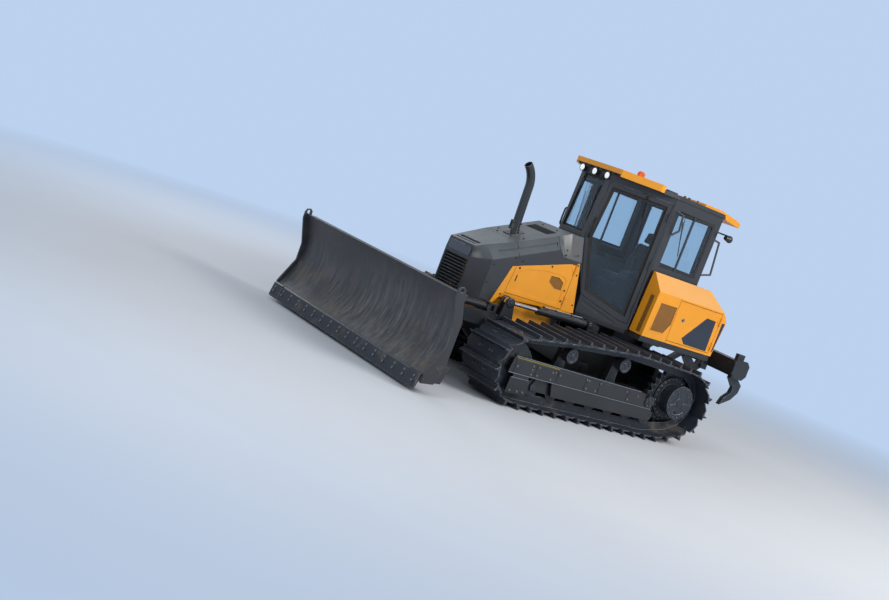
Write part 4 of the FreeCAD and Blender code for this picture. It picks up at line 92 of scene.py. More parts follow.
class Tree:
    """A material's node tree with short calls for the nodes used here."""

    def __init__(self, name):
        self.material = bpy.data.materials.new(name)
        self.material.use_nodes = True
        self.nodes = self.material.node_tree.nodes
        self.links = self.material.node_tree.links
        self.nodes.clear()
        self.output = self.nodes.new("ShaderNodeOutputMaterial")
        self.coords = self.nodes.new("ShaderNodeTexCoord").outputs["Object"]
        self.geometry = self.nodes.new("ShaderNodeNewGeometry")

    def set(self, socket, value):
        """Link a socket or set a constant."""
        if isinstance(value, bpy.types.NodeSocket):
            self.links.new(value, socket)
        elif value is not None:
            socket.default_value = value

    def noise(self, scale, detail=4.0, rough=0.55, stretch=None, kind="Fac"):
        """Fractal noise over the object's own space."""
        node = self.nodes.new("ShaderNodeTexNoise")
        node.inputs["Scale"].default_value = scale
        node.inputs["Detail"].default_value = detail
        node.inputs["Roughness"].default_value = rough
        self.set(node.inputs["Vector"], self.stretched(stretch) if stretch else self.coords)
        return node.outputs[kind]

    def stretched(self, scale, turn=(0, 0, 0)):
        """The object's space scaled unevenly, and turned."""
        node = self.nodes.new("ShaderNodeMapping")
        self.links.new(self.coords, node.inputs["Vector"])
        node.inputs["Scale"].default_value = scale
        node.inputs["Rotation"].default_value = turn
        return node.outputs["Vector"]

    def math(self, operation, a, b=None, c=None):
        """One arithmetic step."""
        node = self.nodes.new("ShaderNodeMath")
        node.operation = operation
        for socket, value in zip(node.inputs, (a, b, c)):
            self.set(socket, value)
        return node.outputs[0]

    def remap(self, value, low, high, to_low=0.0, to_high=1.0):
        """Straight change of range, held inside it."""
        node = self.nodes.new("ShaderNodeMapRange")
        for name, number in (("From Min", low), ("From Max", high), ("To Min", to_low), ("To Max", to_high)):
            node.inputs[name].default_value = number
        self.set(node.inputs["Value"], value)
        return node.outputs["Result"]

    def mix(self, share, a, b):
        """Blend two colours."""
        node = self.nodes.new("ShaderNodeMix")
        node.data_type = "RGBA"
        self.set(node.inputs["Factor"], share)
        self.set(node.inputs["A"], a)
        self.set(node.inputs["B"], b)
        return node.outputs["Result"]

    def axis(self, vector, index):
        """One part of a vector."""
        node = self.nodes.new("ShaderNodeSeparateXYZ")
        self.links.new(vector, node.inputs[0])
        return node.outputs[index]

    def bump(self, height, strength, distance, normal=None):
        """Surface relief from a height."""
        node = self.nodes.new("ShaderNodeBump")
        node.inputs["Strength"].default_value = strength
        node.inputs["Distance"].default_value = distance
        self.set(node.inputs["Height"], height)
        self.set(node.inputs["Normal"], normal)
        return node.outputs["Normal"]

    def rounded(self, radius):
        """Surface direction with its edges rounded."""
        node = self.nodes.new("ShaderNodeBevel")
        node.samples = 4
        node.inputs["Radius"].default_value = radius
        return node.outputs["Normal"]

    def edges(self, rounded):
        """Share that is one at an edge and nothing on a flat face."""
        node = self.nodes.new("ShaderNodeVectorMath")
        node.operation = "DOT_PRODUCT"
        self.links.new(rounded, node.inputs[0])
        self.links.new(self.geometry.outputs["True Normal"], node.inputs[1])
        return self.remap(node.outputs["Value"], 0.985, 0.86)

    def surface(self, **inputs):
        """Principled shader with the given inputs, joined to the output."""
        node = self.nodes.new("ShaderNodeBsdfPrincipled")
        for name, value in inputs.items():
            self.set(node.inputs[name.replace("_", " ")], value)
        self.links.new(node.outputs[0], self.output.inputs["Surface"])
        return self.material


def rgb(red, green, blue):
    """Colour with full cover."""
    return (red, green, blue, 1.0)


def scaled(colour, share):
    """Colour made darker or lighter."""
    return tuple(min(1.0, c * share) for c in colour[:3]) + (1.0,)


DUST = rgb(0.30, 0.245, 0.18)
DRY_MUD = rgb(0.15, 0.115, 0.08)


def settled_dust(tree, amount, low_z, high_z):
    """Share of dust: more on faces that look up, low on the machine, and in drifts."""
    up = tree.remap(tree.axis(tree.geometry.outputs["Normal"], 2), 0.2, 1.0, 0.25, 1.0)
    low = tree.remap(tree.axis(tree.coords, 2), low_z, high_z, 1.0, 0.30)
    drift = tree.remap(tree.noise(2.3, 8.0, 0.62), 0.38, 0.72)
    share = tree.math("MULTIPLY", tree.math("MULTIPLY", up, low), drift)
    return tree.math("MULTIPLY", share, amount)


def paint(name, colour, rough, dust=0.35, coat=0.0, low_z=0.6, high_z=1.8, speck=0.5, worn=None, wear=0.5, round_off=0.004,
          film=None, film_share=0.0):
    """Machine paint: slight unevenness, orange peel, rounded and worn edges, and settled dust; a given film colour is
    laid on faces that look up, partly as dust and partly as a painted sheen of the light from above.
    """
    tree = Tree(name)
    dark, light = scaled(colour, 0.86), scaled(colour, 1.08)
    uneven = tree.mix(tree.remap(tree.noise(1.1, 6.0, 0.6), 0.3, 0.7), dark, light)
    streak = tree.remap(tree.noise(7.0, 6.0, 0.6, (1.0, 1.0, 0.12)), 0.45, 0.8, 0.0, 0.22)
    streaked = tree.mix(streak, uneven, dark)
    rounded = tree.rounded(round_off)
    rubbed = tree.math("MULTIPLY", tree.edges(rounded), tree.remap(tree.noise(26.0, 6.0, 0.65), 0.42, 0.62, 0.0, wear))
    edged = tree.mix(rubbed, streaked, worn or scaled(colour, 1.5))
    share = settled_dust(tree, dust, low_z, high_z)
    grain = tree.noise(140.0, 3.0, 0.7)
    dusty = tree.mix(share, edged, DUST)
    # Film on faces that look up: partly dust, partly painted sheen and sky reflection, tops made lighter because of how
    # the light falls.
    if film:
        top_sheen_and_dust = tree.remap(tree.axis(tree.geometry.outputs["True Normal"], 2), 0.25, 0.75, 0.0, film_share)
        thin = tree.remap(tree.noise(4.0, 8.0, 0.62), 0.25, 0.65, 0.65, 1.0)
        dusty = tree.mix(tree.math("MULTIPLY", top_sheen_and_dust, thin), dusty, film)
    roughness = tree.math("ADD", tree.remap(tree.noise(9.0, 6.0), 0.3, 0.7, rough - 0.06, rough + 0.08),
                          tree.math("MULTIPLY", share, 0.5))
    normal = tree.bump(grain, 0.12 * speck, 0.002, rounded)
    return tree.surface(Base_Color=dusty, Roughness=roughness, Normal=normal, Coat_Weight=coat, Coat_Roughness=0.30)


def muddy_steel(name, steel, mud_from=0.5, metallic=0.6, rough=0.42, low_z=0.05, high_z=1.0, bare=None, wear=0.9):
    """Worn steel of the running gear: bright edges, and dried mud in patches that gather low down."""
    tree = Tree(name)
    patches = tree.remap(tree.noise(3.2, 10.0, 0.68), mud_from, mud_from + 0.22)
    low = tree.remap(tree.axis(tree.coords, 2), low_z, high_z, 0.9, 0.04)
    share = tree.math("MULTIPLY", patches, low)
    tone = tree.mix(tree.noise(11.0, 8.0, 0.7), steel, scaled(steel, 1.9))
    rounded = tree.rounded(0.006)
    scuff = tree.remap(tree.noise(18.0, 8.0, 0.7), 0.34, 0.6, 0.1, wear)
    edge = tree.math("MULTIPLY", tree.edges(rounded), scuff)
    bright = tree.mix(edge, tone, bare or rgb(0.34, 0.35, 0.37))
    mud = tree.mix(tree.noise(24.0, 6.0, 0.7), DRY_MUD, DUST)
    colour = tree.mix(share, bright, mud)
    height = tree.math("ADD", tree.math("MULTIPLY", share, 0.6), tree.math("MULTIPLY", tree.noise(60.0, 8.0, 0.7), 0.5))
    return tree.surface(Base_Color=colour, Metallic=tree.remap(share, 0.0, 0.5, metallic, 0.0),
                        Roughness=tree.remap(share, 0.0, 0.6, rough, 0.92), Normal=tree.bump(height, 0.4, 0.004, rounded))


def make_floor_material():
    """Pale floor that keeps the shadow and melts into the background further out."""
    tree = Tree("floor")
    path = tree.nodes.new("ShaderNodeLightPath").outputs
    seen = tree.math("MAXIMUM", path["Is Camera Ray"], tree.math("MAXIMUM", path["Is Glossy Ray"],
                                                                path["Is Transmission Ray"]))
    length = tree.nodes.new("ShaderNodeVectorMath")
    length.operation = "LENGTH"
    tree.links.new(tree.coords, length.inputs[0])
    fade = tree.remap(length.outputs["Value"], 5.0, 13.0)
    diffuse = tree.nodes.new("ShaderNodeBsdfDiffuse")
    tree.set(diffuse.inputs["Color"], tree.mix(tree.noise(0.7, 3.0), rgb(0.56, 0.58, 0.62), rgb(0.60, 0.62, 0.66)))
    glow = tree.nodes.new("ShaderNodeEmission")
    glow.inputs["Color"].default_value = BACKGROUND
    blend = tree.nodes.new("ShaderNodeMixShader")
    tree.links.new(tree.math("MULTIPLY", fade, seen), blend.inputs[0])
    tree.links.new(diffuse.outputs[0], blend.inputs[1])
    tree.links.new(glow.outputs[0], blend.inputs[2])
    tree.links.new(blend.outputs[0], tree.output.inputs["Surface"])
    return tree.material


def make_studio():
    """Floor, world and lamps."""
    bpy.ops.mesh.primitive_plane_add(size=FLOOR_SIZE)
    floor = bpy.context.object
    floor.name = "floor"
    floor.data.materials.append(make_floor_material())
    world = bpy.data.worlds.new("studio")
    SCENE.world = world
    world.use_nodes = True
    nodes, links = world.node_tree.nodes, world.node_tree.links
    nodes.clear()
    path = nodes.new("ShaderNodeLightPath").outputs
    seen = nodes.new("ShaderNodeMath")
    seen.operation = "MAXIMUM"
    links.new(path["Is Camera Ray"], seen.inputs[0])
    links.new(path["Is Transmission Ray"], seen.inputs[1])
    fill = nodes.new("ShaderNodeBackground")
    fill.inputs["Color"].default_value = (0.84, 0.91, 1.0, 1.0)
    fill.inputs["Strength"].default_value = 0.50
    shown = nodes.new("ShaderNodeBackground")
    shown.inputs["Color"].default_value = BACKGROUND
    blend = nodes.new("ShaderNodeMixShader")
    links.new(seen.outputs[0], blend.inputs[0])
    links.new(fill.outputs[0], blend.inputs[1])
    links.new(shown.outputs[0], blend.inputs[2])
    links.new(blend.outputs[0], nodes.new("ShaderNodeOutputWorld").inputs["Surface"])
    area_light("key", (-3.0, 9.0, 7.5), (-0.3, 0.3, 1.2), 5.0, 890.0, (1.0, 0.97, 0.92))
    area_light("front_fill", (8.0, 4.0, 5.0), (0.8, 0.0, 1.0), 4.0, 180.0, (0.92, 0.96, 1.0))
    area_light("right_fill", (1.0, -9.0, 6.0), (0.0, 0.0, 1.2), 5.0, 300.0, (0.95, 0.97, 1.0))


# Materials by record slot

YELLOW = rgb(0.86, 0.335, 0.012)
CHARCOAL = rgb(0.019, 0.022, 0.028)
BLACK = rgb(0.009, 0.012, 0.017)


def cloth(name, colour):
    """Woven seat cloth."""
    tree = Tree(name)
    weave = tree.nodes.new("ShaderNodeTexWave")
    weave.inputs["Scale"].default_value = 240.0
    tree.links.new(tree.coords, weave.inputs["Vector"])
    tone = tree.mix(tree.math("MULTIPLY", weave.outputs["Fac"], tree.noise(40.0, 4.0)), colour, scaled(colour, 1.7))
    return tree.surface(Base_Color=tone, Roughness=0.9, Sheen_Weight=0.3,
                        Normal=tree.bump(weave.outputs["Fac"], 0.3, 0.0006))


def plastic(name, colour, rough=0.55):
    """Moulded plastic with a fine grain."""
    tree = Tree(name)
    return tree.surface(Base_Color=tree.mix(tree.noise(3.0, 6.0), colour, scaled(colour, 1.5)),
                        Roughness=tree.remap(tree.noise(20.0), 0.3, 0.7, rough - 0.06, rough + 0.08),
                        Normal=tree.bump(tree.noise(500.0, 2.0), 0.15, 0.0006, tree.rounded(0.003)))


def mouldboard(name, colour):
    """Blade paint rubbed down to steel by soil over the lower part of its front, with patches of dry soil that gather
    low down.
    """
    tree = Tree(name)
    front = tree.remap(tree.axis(tree.geometry.outputs["Normal"], 0), 0.25, 0.75)
    low = tree.remap(tree.axis(tree.coords, 2), 0.35, 1.05, 1.0, 0.15)
    cloud = tree.remap(tree.noise(1.3, 8.0, 0.6), 0.36, 0.62)
    scratch = tree.remap(tree.noise(9.0, 8.0, 0.7, (1.0, 2.2, 0.25)), 0.40, 0.66)
    bare = tree.math("MULTIPLY", tree.math("MULTIPLY", front, low), tree.math("MULTIPLY", cloud, scratch))
    rounded = tree.rounded(0.005)
    edge = tree.math("MULTIPLY", tree.edges(rounded), tree.remap(tree.noise(26.0, 6.0, 0.65), 0.40, 0.60, 0.0, 0.8))
    bare = tree.math("MAXIMUM", tree.math("MULTIPLY", bare, 0.85), edge)
    soil = tree.math("MULTIPLY", tree.remap(tree.noise(3.4, 10.0, 0.66), 0.54, 0.70), tree.remap(tree.axis(tree.coords, 2), 0.1, 1.0, 0.8, 0.1))
    painted = tree.mix(tree.noise(1.1, 6.0, 0.6), scaled(colour, 0.85), scaled(colour, 1.15))
    tone = tree.mix(soil, tree.mix(bare, painted, rgb(0.24, 0.235, 0.23)), tree.mix(tree.noise(24.0), DRY_MUD, DUST))
    height = tree.math("ADD", tree.math("MULTIPLY", soil, 0.8), tree.noise(70.0, 6.0, 0.7))
    rough = tree.math("ADD", tree.remap(soil, 0.0, 0.6, 0.42, 0.9), tree.math("MULTIPLY", scratch, 0.06))
    return tree.surface(Base_Color=tone, Metallic=tree.math("MULTIPLY", bare, 0.8), Roughness=rough, Normal=tree.bump(height, 0.2, 0.003, rounded))


def metal(name, colour, rough, film_share=0.35):
    """Bright metal with a film of dust."""
    tree = Tree(name)
    film = tree.remap(tree.noise(8.0, 6.0), 0.45, 0.8, 0.0, film_share)
    return tree.surface(Base_Color=tree.mix(film, colour, DUST), Metallic=1.0,
                        Roughness=tree.remap(film, 0.0, 0.35, rough, rough + 0.3))


def glass(name):
    """Lightly tinted safety glass."""
    tree = Tree(name)
    smear = tree.remap(tree.noise(2.5, 8.0, 0.65), 0.35, 0.75, 0.01, 0.05)
    return tree.surface(Base_Color=tree.mix(tree.noise(1.5), rgb(0.66, 0.78, 0.84), rgb(0.70, 0.81, 0.87)),
                        Roughness=smear, IOR=1.45, Transmission_Weight=1.0)


def glowing(name, colour, strength, rough=0.15):
    """Lens lit from behind."""
    tree = Tree(name)
    tone = tree.mix(tree.noise(30.0), colour, scaled(colour, 1.2))
    return tree.surface(Base_Color=tone, Roughness=rough, Emission_Color=tone, Emission_Strength=strength)


def perforated(name, colour, pitch):
    """Punched sheet: rows of small dark holes, each row set off by half a step."""
    tree = Tree(name)
    flat = tree.nodes.new("ShaderNodeTexBrick")
    flat.offset = 0.5
    flat.inputs["Scale"].default_value = 1.0 / pitch
    flat.inputs["Brick Width"].default_value = 1.0
    flat.inputs["Row Height"].default_value = 1.0
    flat.inputs["Mortar Size"].default_value = 0.28
    flat.inputs["Mortar Smooth"].default_value = 0.35
    tree.links.new(tree.stretched((1.0, 1.0, 1.0), (math.pi / 2, 0, 0)), flat.inputs["Vector"])
    bars = flat.outputs["Fac"]
    sheet = tree.mix(tree.noise(9.0, 6.0), scaled(colour, 0.8), scaled(colour, 1.15))
    return tree.surface(Base_Color=tree.mix(bars, rgb(0.02, 0.015, 0.01), sheet), Roughness=0.6,
                        Normal=tree.bump(bars, 0.6, 0.002))


def beacon_lens(name, foot_top):
    """Amber dome over a black foot."""
    tree = Tree(name)
    above = tree.remap(tree.axis(tree.coords, 2), foot_top, foot_top + 0.0005)
    ribs = tree.nodes.new("ShaderNodeTexWave")
    ribs.wave_type = "BANDS"
    ribs.bands_direction = "Z"
    ribs.inputs["Scale"].default_value = 40.0
    tree.links.new(tree.coords, ribs.inputs["Vector"])
    lens = tree.mix(ribs.outputs["Fac"], rgb(0.60, 0.03, 0.003), rgb(0.90, 0.20, 0.006))
    tone = tree.mix(above, rgb(0.02, 0.02, 0.022), lens)
    return tree.surface(Base_Color=tone, Roughness=0.16, Emission_Color=tone, Emission_Strength=0.12)


def make_materials():
    """Every finish by its slot in the record, and a few for small parts."""
    return {
        # The yellow's film is partly dust and partly painted glare on faces that look up.
        "body_yellow": paint("body_yellow", YELLOW, 0.38, dust=0.07, coat=0.1, worn=rgb(0.92, 0.46, 0.05), wear=0.4,
                             film=rgb(0.78, 0.52, 0.28), film_share=0.40),
        # Frame yellow with painted shade: near black low down and towards the rear.
        "frame_yellow": frame_with_painted_shade("frame_yellow", YELLOW),
        # The charcoal's bluish film is a painted reflection of the sky on faces that look up.
        "charcoal_paint": paint("charcoal_paint", CHARCOAL, 0.40, dust=0.07, coat=0.5, film=rgb(0.16, 0.19, 0.205), film_share=0.50, worn=rgb(0.14, 0.15, 0.17)),
        "black_steel": paint("black_steel", BLACK, 0.40, dust=0.09, coat=0.3, low_z=0.2, high_z=1.4, speck=1.0,
                             worn=rgb(0.16, 0.17, 0.19), wear=0.8),
        "cylinder_black": paint("cylinder_black", BLACK, 0.22, dust=0.08, coat=0.5, low_z=0.2, high_z=1.4,
                                worn=rgb(0.16, 0.17, 0.19)),
        # Pale bluish paint of the guard ledges: a painted highlight along their edges.
        "ledge_highlight_paint": paint("ledge_highlight_paint", rgb(0.12, 0.145, 0.185), 0.26, dust=0.10, coat=0.3, low_z=0.2, high_z=1.4,
                             worn=rgb(0.30, 0.33, 0.38)),
        # Dark olive yellow of the strip under the upper ledge: yellow paint with painted shade.
        "shaded_yellow_strip": paint("shaded_yellow_strip", rgb(0.26, 0.20, 0.02), 0.45, dust=0.10),
        "track_steel": muddy_steel("track_steel", rgb(0.020, 0.025, 0.034), mud_from=0.56, metallic=0.25, bare=rgb(0.42, 0.47, 0.55), wear=1.2),
        "blade_paint": mouldboard("blade_paint", rgb(0.030, 0.033, 0.040)),
        "chrome_rod": metal("chrome_rod", rgb(0.80, 0.81, 0.83), 0.10),
        "engine_iron": paint("engine_iron", rgb(0.10, 0.10, 0.105), 0.6, dust=0.4),
        "glass": glass("glass"),
        "seat_fabric": cloth("seat_fabric", rgb(0.03, 0.03, 0.034)),
        "cab_trim": plastic("cab_trim", rgb(0.040, 0.040, 0.043)),
        "lamp_white": glowing("lamp_white", rgb(0.86, 0.90, 0.94), 0.35),
        "beacon_amber": beacon_lens("beacon_amber", 2.920),
        "exhaust_steel": paint("exhaust_steel", rgb(0.018, 0.021, 0.026), 0.32, dust=0.05, coat=0.3, worn=rgb(0.12, 0.12, 0.13)),
        "rail_grey": paint("rail_grey", rgb(0.07, 0.075, 0.085), 0.30, dust=0.06, worn=rgb(0.3, 0.31, 0.33)),
        "bolt_steel": metal("bolt_steel", rgb(0.20, 0.21, 0.23), 0.34),
        "pipe_steel": metal("pipe_steel", rgb(0.42, 0.46, 0.52), 0.28),
        "rubber": plastic("rubber", rgb(0.012, 0.012, 0.013), 0.7),
        "vent_mesh": perforated("vent_mesh", rgb(0.31, 0.125, 0.010), 0.011),
        "dark_mesh": perforated("dark_mesh", rgb(0.055, 0.058, 0.065), 0.013),
        "slate_plate": paint("slate_plate", rgb(0.014, 0.020, 0.038), 0.32, dust=0.05, coat=0.3),
        "badge_plate": paint("badge_plate", rgb(0.06, 0.068, 0.095), 0.28, dust=0.05, coat=0.4, worn=rgb(0.35, 0.37, 0.42)),
        "unlit_lens": paint("unlit_lens", rgb(0.35, 0.37, 0.40), 0.12, dust=0.05, coat=0.6),
    }


def dress_nodes(materials):
    """Give each CAD node the finish of its slot."""
    for row in frame["record"]["subparts"]:
        node = NODES[row["node"]]
        node.data.materials.clear()
        node.data.materials.append(materials[row["material_slot"]])
    NODES["work_lamps"].data.materials[0] = materials["black_steel"]
    NODES["main_frame"].data.materials[0] = materials["frame_yellow"]
    for name, node in NODES.items():
        if "_cylinder" in name:
            node.data.materials[0] = materials["cylinder_black"]


# Small parts

def frame_with_painted_shade(name, colour):
    """Frame paint with painted shade: near black low down and towards the rear, where the frame lies in shade behind
    the tracks, yellow only high up and ahead, beside the engine.
    """
    material = paint(name, colour, 0.42, dust=0.15, worn=rgb(0.92, 0.46, 0.05), wear=0.3)
    nodes, links = material.node_tree.nodes, material.node_tree.links
    shader = next(node for node in nodes if node.type == "BSDF_PRINCIPLED")
    under = shader.inputs["Base Color"].links[0].from_socket
    tree = Tree.__new__(Tree)
    tree.material, tree.nodes, tree.links = material, nodes, links
    tree.coords = next(node for node in nodes if node.type == "TEX_COORD").outputs["Object"]
    # Painted shade: the frame turns near black below about 0.77 m and behind about 0.35 m, with ragged borders.
    ragged = tree.math("MULTIPLY_ADD", tree.noise(9.0, 6.0), 0.12, -0.06)
    high = tree.remap(tree.math("ADD", tree.axis(tree.coords, 2), ragged), 0.74, 0.80)
    ahead = tree.remap(tree.math("ADD", tree.axis(tree.coords, 0), ragged), 0.30, 0.40)
    tree.set(shader.inputs["Base Color"], tree.mix(tree.math("MULTIPLY", high, ahead), rgb(0.016, 0.016, 0.017), under))
    return material


MM = 0.001
SIDES = (("left", 1.0), ("right", -1.0))


class Piece:
    """Mesh of one small part or of a set of like ones, in millimetres until it is placed."""

    def __init__(self):
        self.mesh = bmesh.new()

    def skin(self, rings):
        """Solid through rings of as many points each, capped at both ends."""
        made = [[self.mesh.verts.new(Vector(point) * MM) for point in ring] for ring in rings]
        count = len(made[0])
        for a, b in zip(made, made[1:]):
            for i in range(count):
                j = (i + 1) % count
                self.mesh.faces.new((a[i], a[j], b[j], b[i]))
        self.mesh.faces.new(list(reversed(made[0])))
        self.mesh.faces.new(made[-1])

    def plate(self, points, offset):
        """Flat outline given a thickness."""
        offset = Vector(offset)
        self.skin([[Vector(p) for p in points], [Vector(p) + offset for p in points]])

    def block(self, x, y, z):
        """Box between two corners."""
        self.plate([(x[0], y[0], z[0]), (x[1], y[0], z[0]), (x[1], y[1], z[0]), (x[0], y[1], z[0])], (0, 0, z[1] - z[0]))

    def frame(self, outer, inner, offset):
        """Ring between two outlines of as many points, given a thickness."""
        offset = Vector(offset)
        outer, inner = [Vector(p) for p in outer], [Vector(p) for p in inner]
        loops = [outer, [p + offset for p in outer], [p + offset for p in inner], inner]
        made = [[self.mesh.verts.new(p * MM) for p in loop] for loop in loops]
        count = len(outer)
        for a, b in zip(made, made[1:] + made[:1]):
            for i in range(count):
                j = (i + 1) % count
                self.mesh.faces.new((a[i], a[j], b[j], b[i]))

    def turned(self, centre, axis, profile, sides=16, turn=0.0):
        """Solid of revolution: profile gives (along the axis, radius)."""
        centre, axis = Vector(centre), Vector(axis).normalized()
        across = axis.orthogonal().normalized()
        beside = axis.cross(across)
        rings = []
        for along, radius in profile:
            angles = [turn + 2 * math.pi * i / sides for i in range(sides)]
            rings.append([centre + axis * along + (across * math.cos(a) + beside * math.sin(a)) * radius for a in angles])
        self.skin(rings)

    def bolt(self, centre, axis, radius, washer=True):
        """Hexagon head on its washer."""
        if washer:
            self.turned(centre, axis, [(-1.0, radius * 1.5), (radius * 0.22, radius * 1.5), (radius * 0.3, radius * 1.38)], 14)
        high = radius * 0.95
        self.turned(centre, axis, [(0.0, radius), (high, radius), (high + radius * 0.12, radius * 0.82)], 6, radius)

    def stud(self, centre, axis, radius, height):
        """Round-headed fastener."""
        self.turned(centre, axis, [(-1.0, radius), (height * 0.5, radius), (height * 0.85, radius * 0.8), (height, radius * 0.4)], 14)

    def pipe(self, points, radius, sides=10):
        """Round bar along a line of points."""
        points = [Vector(p) for p in points]
        rings = []
        previous = None
        for i, point in enumerate(points):
            ahead = points[min(i + 1, len(points) - 1)] - points[max(i - 1, 0)]
            ahead.normalize()
            across = (previous - ahead * previous.dot(ahead)) if previous else ahead.orthogonal()
            across.normalize()
            previous = across
            beside = ahead.cross(across)
            angles = [2 * math.pi * k / sides for k in range(sides)]
            rings.append([point + (across * math.cos(a) + beside * math.sin(a)) * radius for a in angles])
        self.skin(rings)

    def place(self, name, body, finish, smooth_below=35.0, bevel=0.0):
        """Make the object, give it its finish and let it ride on a body."""
        bmesh.ops.recalc_face_normals(self.mesh, faces=self.mesh.faces)
        data = bpy.data.meshes.new(name)
        self.mesh.to_mesh(data)
        self.mesh.free()
        data.shade_smooth()
        data.set_sharp_from_angle(angle=math.radians(smooth_below))
        made = bpy.data.objects.new(name, data)
        SCENE.collection.objects.link(made)
        data.materials.append(MATERIALS[finish])
        if bevel:
            modifier = made.modifiers.new("bevel", "BEVEL")
            modifier.width = bevel * MM
            modifier.segments = 2
            modifier.limit_method = "ANGLE"
        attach(made, body)
        return made


def on_side(points, y, side):
    """Points (x, z) on a plane of constant width, on one side of the machine."""
    return [(x, side * y, z) for x, z in points]


def inset(points, amount):
    """Convex outline in a plane moved inward."""
    middle = (sum(p[0] for p in points) / len(points), sum(p[1] for p in points) / len(points))
    moved = []
    for i, point in enumerate(points):
        lines = []
        for a, b in ((points[i - 1], point), (point, points[(i + 1) % len(points)])):
            dx, dz = b[0] - a[0], b[1] - a[1]
            length = math.hypot(dx, dz)
            nx, nz = -dz / length, dx / length
            if (middle[0] - a[0]) * nx + (middle[1] - a[1]) * nz < 0:
                nx, nz = -nx, -nz
            lines.append((nx, nz, nx * (a[0] + nx * amount) + nz * (a[1] + nz * amount)))
        (a1, b1, c1), (a2, b2, c2) = lines
        cross = a1 * b2 - a2 * b1
        moved.append(((c1 * b2 - c2 * b1) / cross, (a1 * c2 - a2 * c1) / cross))
    return moved


# Engine bay: studs, vents, latches and the front plate

BAY_HALF = 450.0
DOOR_VENT = [(574.0, 1476.0), (447.0, 1482.0), (359.0, 1438.0), (356.0, 1339.0), (461.0, 1338.0), (579.0, 1400.0)]
LATCH_SLOT = [(1083.0, 1366.0), (1067.0, 1364.0), (1069.0, 1280.0), (1086.0, 1282.0)]
DOOR_STUDS = [(1080.0, 1448.0), (619.0, 1580.0), (303.0, 1352.0), (305.0, 1218.0)]
BAY_STUDS = [(236.0, 1688.0), (207.0, 1572.0), (100.0, 1215.0), (1222.0, 1094.0), (1190.0, 1545.0), (1069.0, 1533.0),
             (1462.0, 1395.0), (1470.0, 1180.0)]
COWL_STUDS = [(489.0, 1820.0), (300.0, 1800.0), (480.0, 1758.0)]


def engine_bay_parts():
    """Fasteners, punched vents and latches of the engine bay."""
    for name, side in SIDES:
        vent = Piece()
        vent.plate(on_side(inset(DOOR_VENT, 1.0), BAY_HALF - 12.5, side), (0, side * 3.0, 0))
        vent.place("engine_vent_" + name, "engine_door_" + name, "vent_mesh")
        rim = Piece()
        rim.frame(on_side(inset(DOOR_VENT, -9.0), BAY_HALF - 4.2, side), on_side(inset(DOOR_VENT, 1.0), BAY_HALF - 4.2, side), (0, side * 2.5, 0))
        rim.place("engine_vent_rim_" + name, "engine_door_" + name, "body_yellow", bevel=1.0)
        latch = Piece()
        latch.plate(on_side(inset(LATCH_SLOT, 1.5), BAY_HALF - 11.5, side), (0, side * 10.0, 0))
        latch.place("engine_latch_" + name, "engine_door_" + name, "rubber", bevel=2.0)
        studs = Piece()
        for x, z in DOOR_STUDS:
            studs.stud((x, side * (BAY_HALF - 0.5), z), (0, side, 0), 13.0, 8.0)
        studs.place("engine_door_studs_" + name, "engine_door_" + name, "rubber")
    fixed = Piece()
    for _, side in SIDES:
        for x, z in BAY_STUDS + COWL_STUDS:
            fixed.stud((x, side * (BAY_HALF - 0.5), z), (0, side, 0), 11.0, 7.0)
    fixed.place("bay_studs", "machine", "rubber")


HOOD_SLOPE = 0.397
NOSE_X, HOOD_FRONT_TOP, COWL_Z = 1660.0, 1516.0, 2018.0
HOOD_TOP_STUDS = [(1100.0, -160.0), (1100.0, 110.0), (1020.0, -255.0), (1020.0, 255.0), (472.0, -150.0), (472.0, 130.0)]
TOP_VENT_X, TOP_VENT_HALF = (532.0, 673.0), 213.0
FRONT_PLATE = [(-205.0, 1376.0), (-218.0, 1400.0), (-212.0, 1470.0), (-190.0, 1484.0), (200.0, 1484.0), (220.0, 1466.0),
               (214.0, 1392.0), (192.0, 1374.0)]


def hood_top(x):
    """Height of the hood's top."""
    return min(HOOD_FRONT_TOP + HOOD_SLOPE * (NOSE_X - x), COWL_Z)


EXHAUST_X, EXHAUST_R = 985.0, 52.0


def exhaust_parts():
    """Clamp round the foot of the exhaust pipe, with its lugs and bolt."""
    foot = hood_top(EXHAUST_X)
    clamp = Piece()
    for low, high in ((44.0, 66.0), (118.0, 140.0)):
        clamp.turned((EXHAUST_X, 0, foot + low), (0, 0, 1), [(0.0, EXHAUST_R - 2.0), (1.5, EXHAUST_R + 5.0), (high - low - 1.5, EXHAUST_R + 5.0),
                                                       (high - low, EXHAUST_R - 2.0)], 40)
    clamp.block((EXHAUST_X + EXHAUST_R - 1.0, EXHAUST_X + EXHAUST_R + 34.0), (-24.0, -8.0), (foot + 36.0, foot + 148.0))
    clamp.block((EXHAUST_X + EXHAUST_R - 1.0, EXHAUST_X + EXHAUST_R + 34.0), (8.0, 24.0), (foot + 36.0, foot + 148.0))
    for high in (56.0, 128.0):
        clamp.bolt((EXHAUST_X + EXHAUST_R + 20.0, 24.0, foot + high), (0, 1, 0), 9.0)
        clamp.turned((EXHAUST_X + EXHAUST_R + 20.0, -34.0, foot + high), (0, 1, 0), [(0.0, 8.0), (58.0, 8.0)], 12)
    clamp.place("exhaust_clamp", "machine", "exhaust_steel", bevel=1.2)


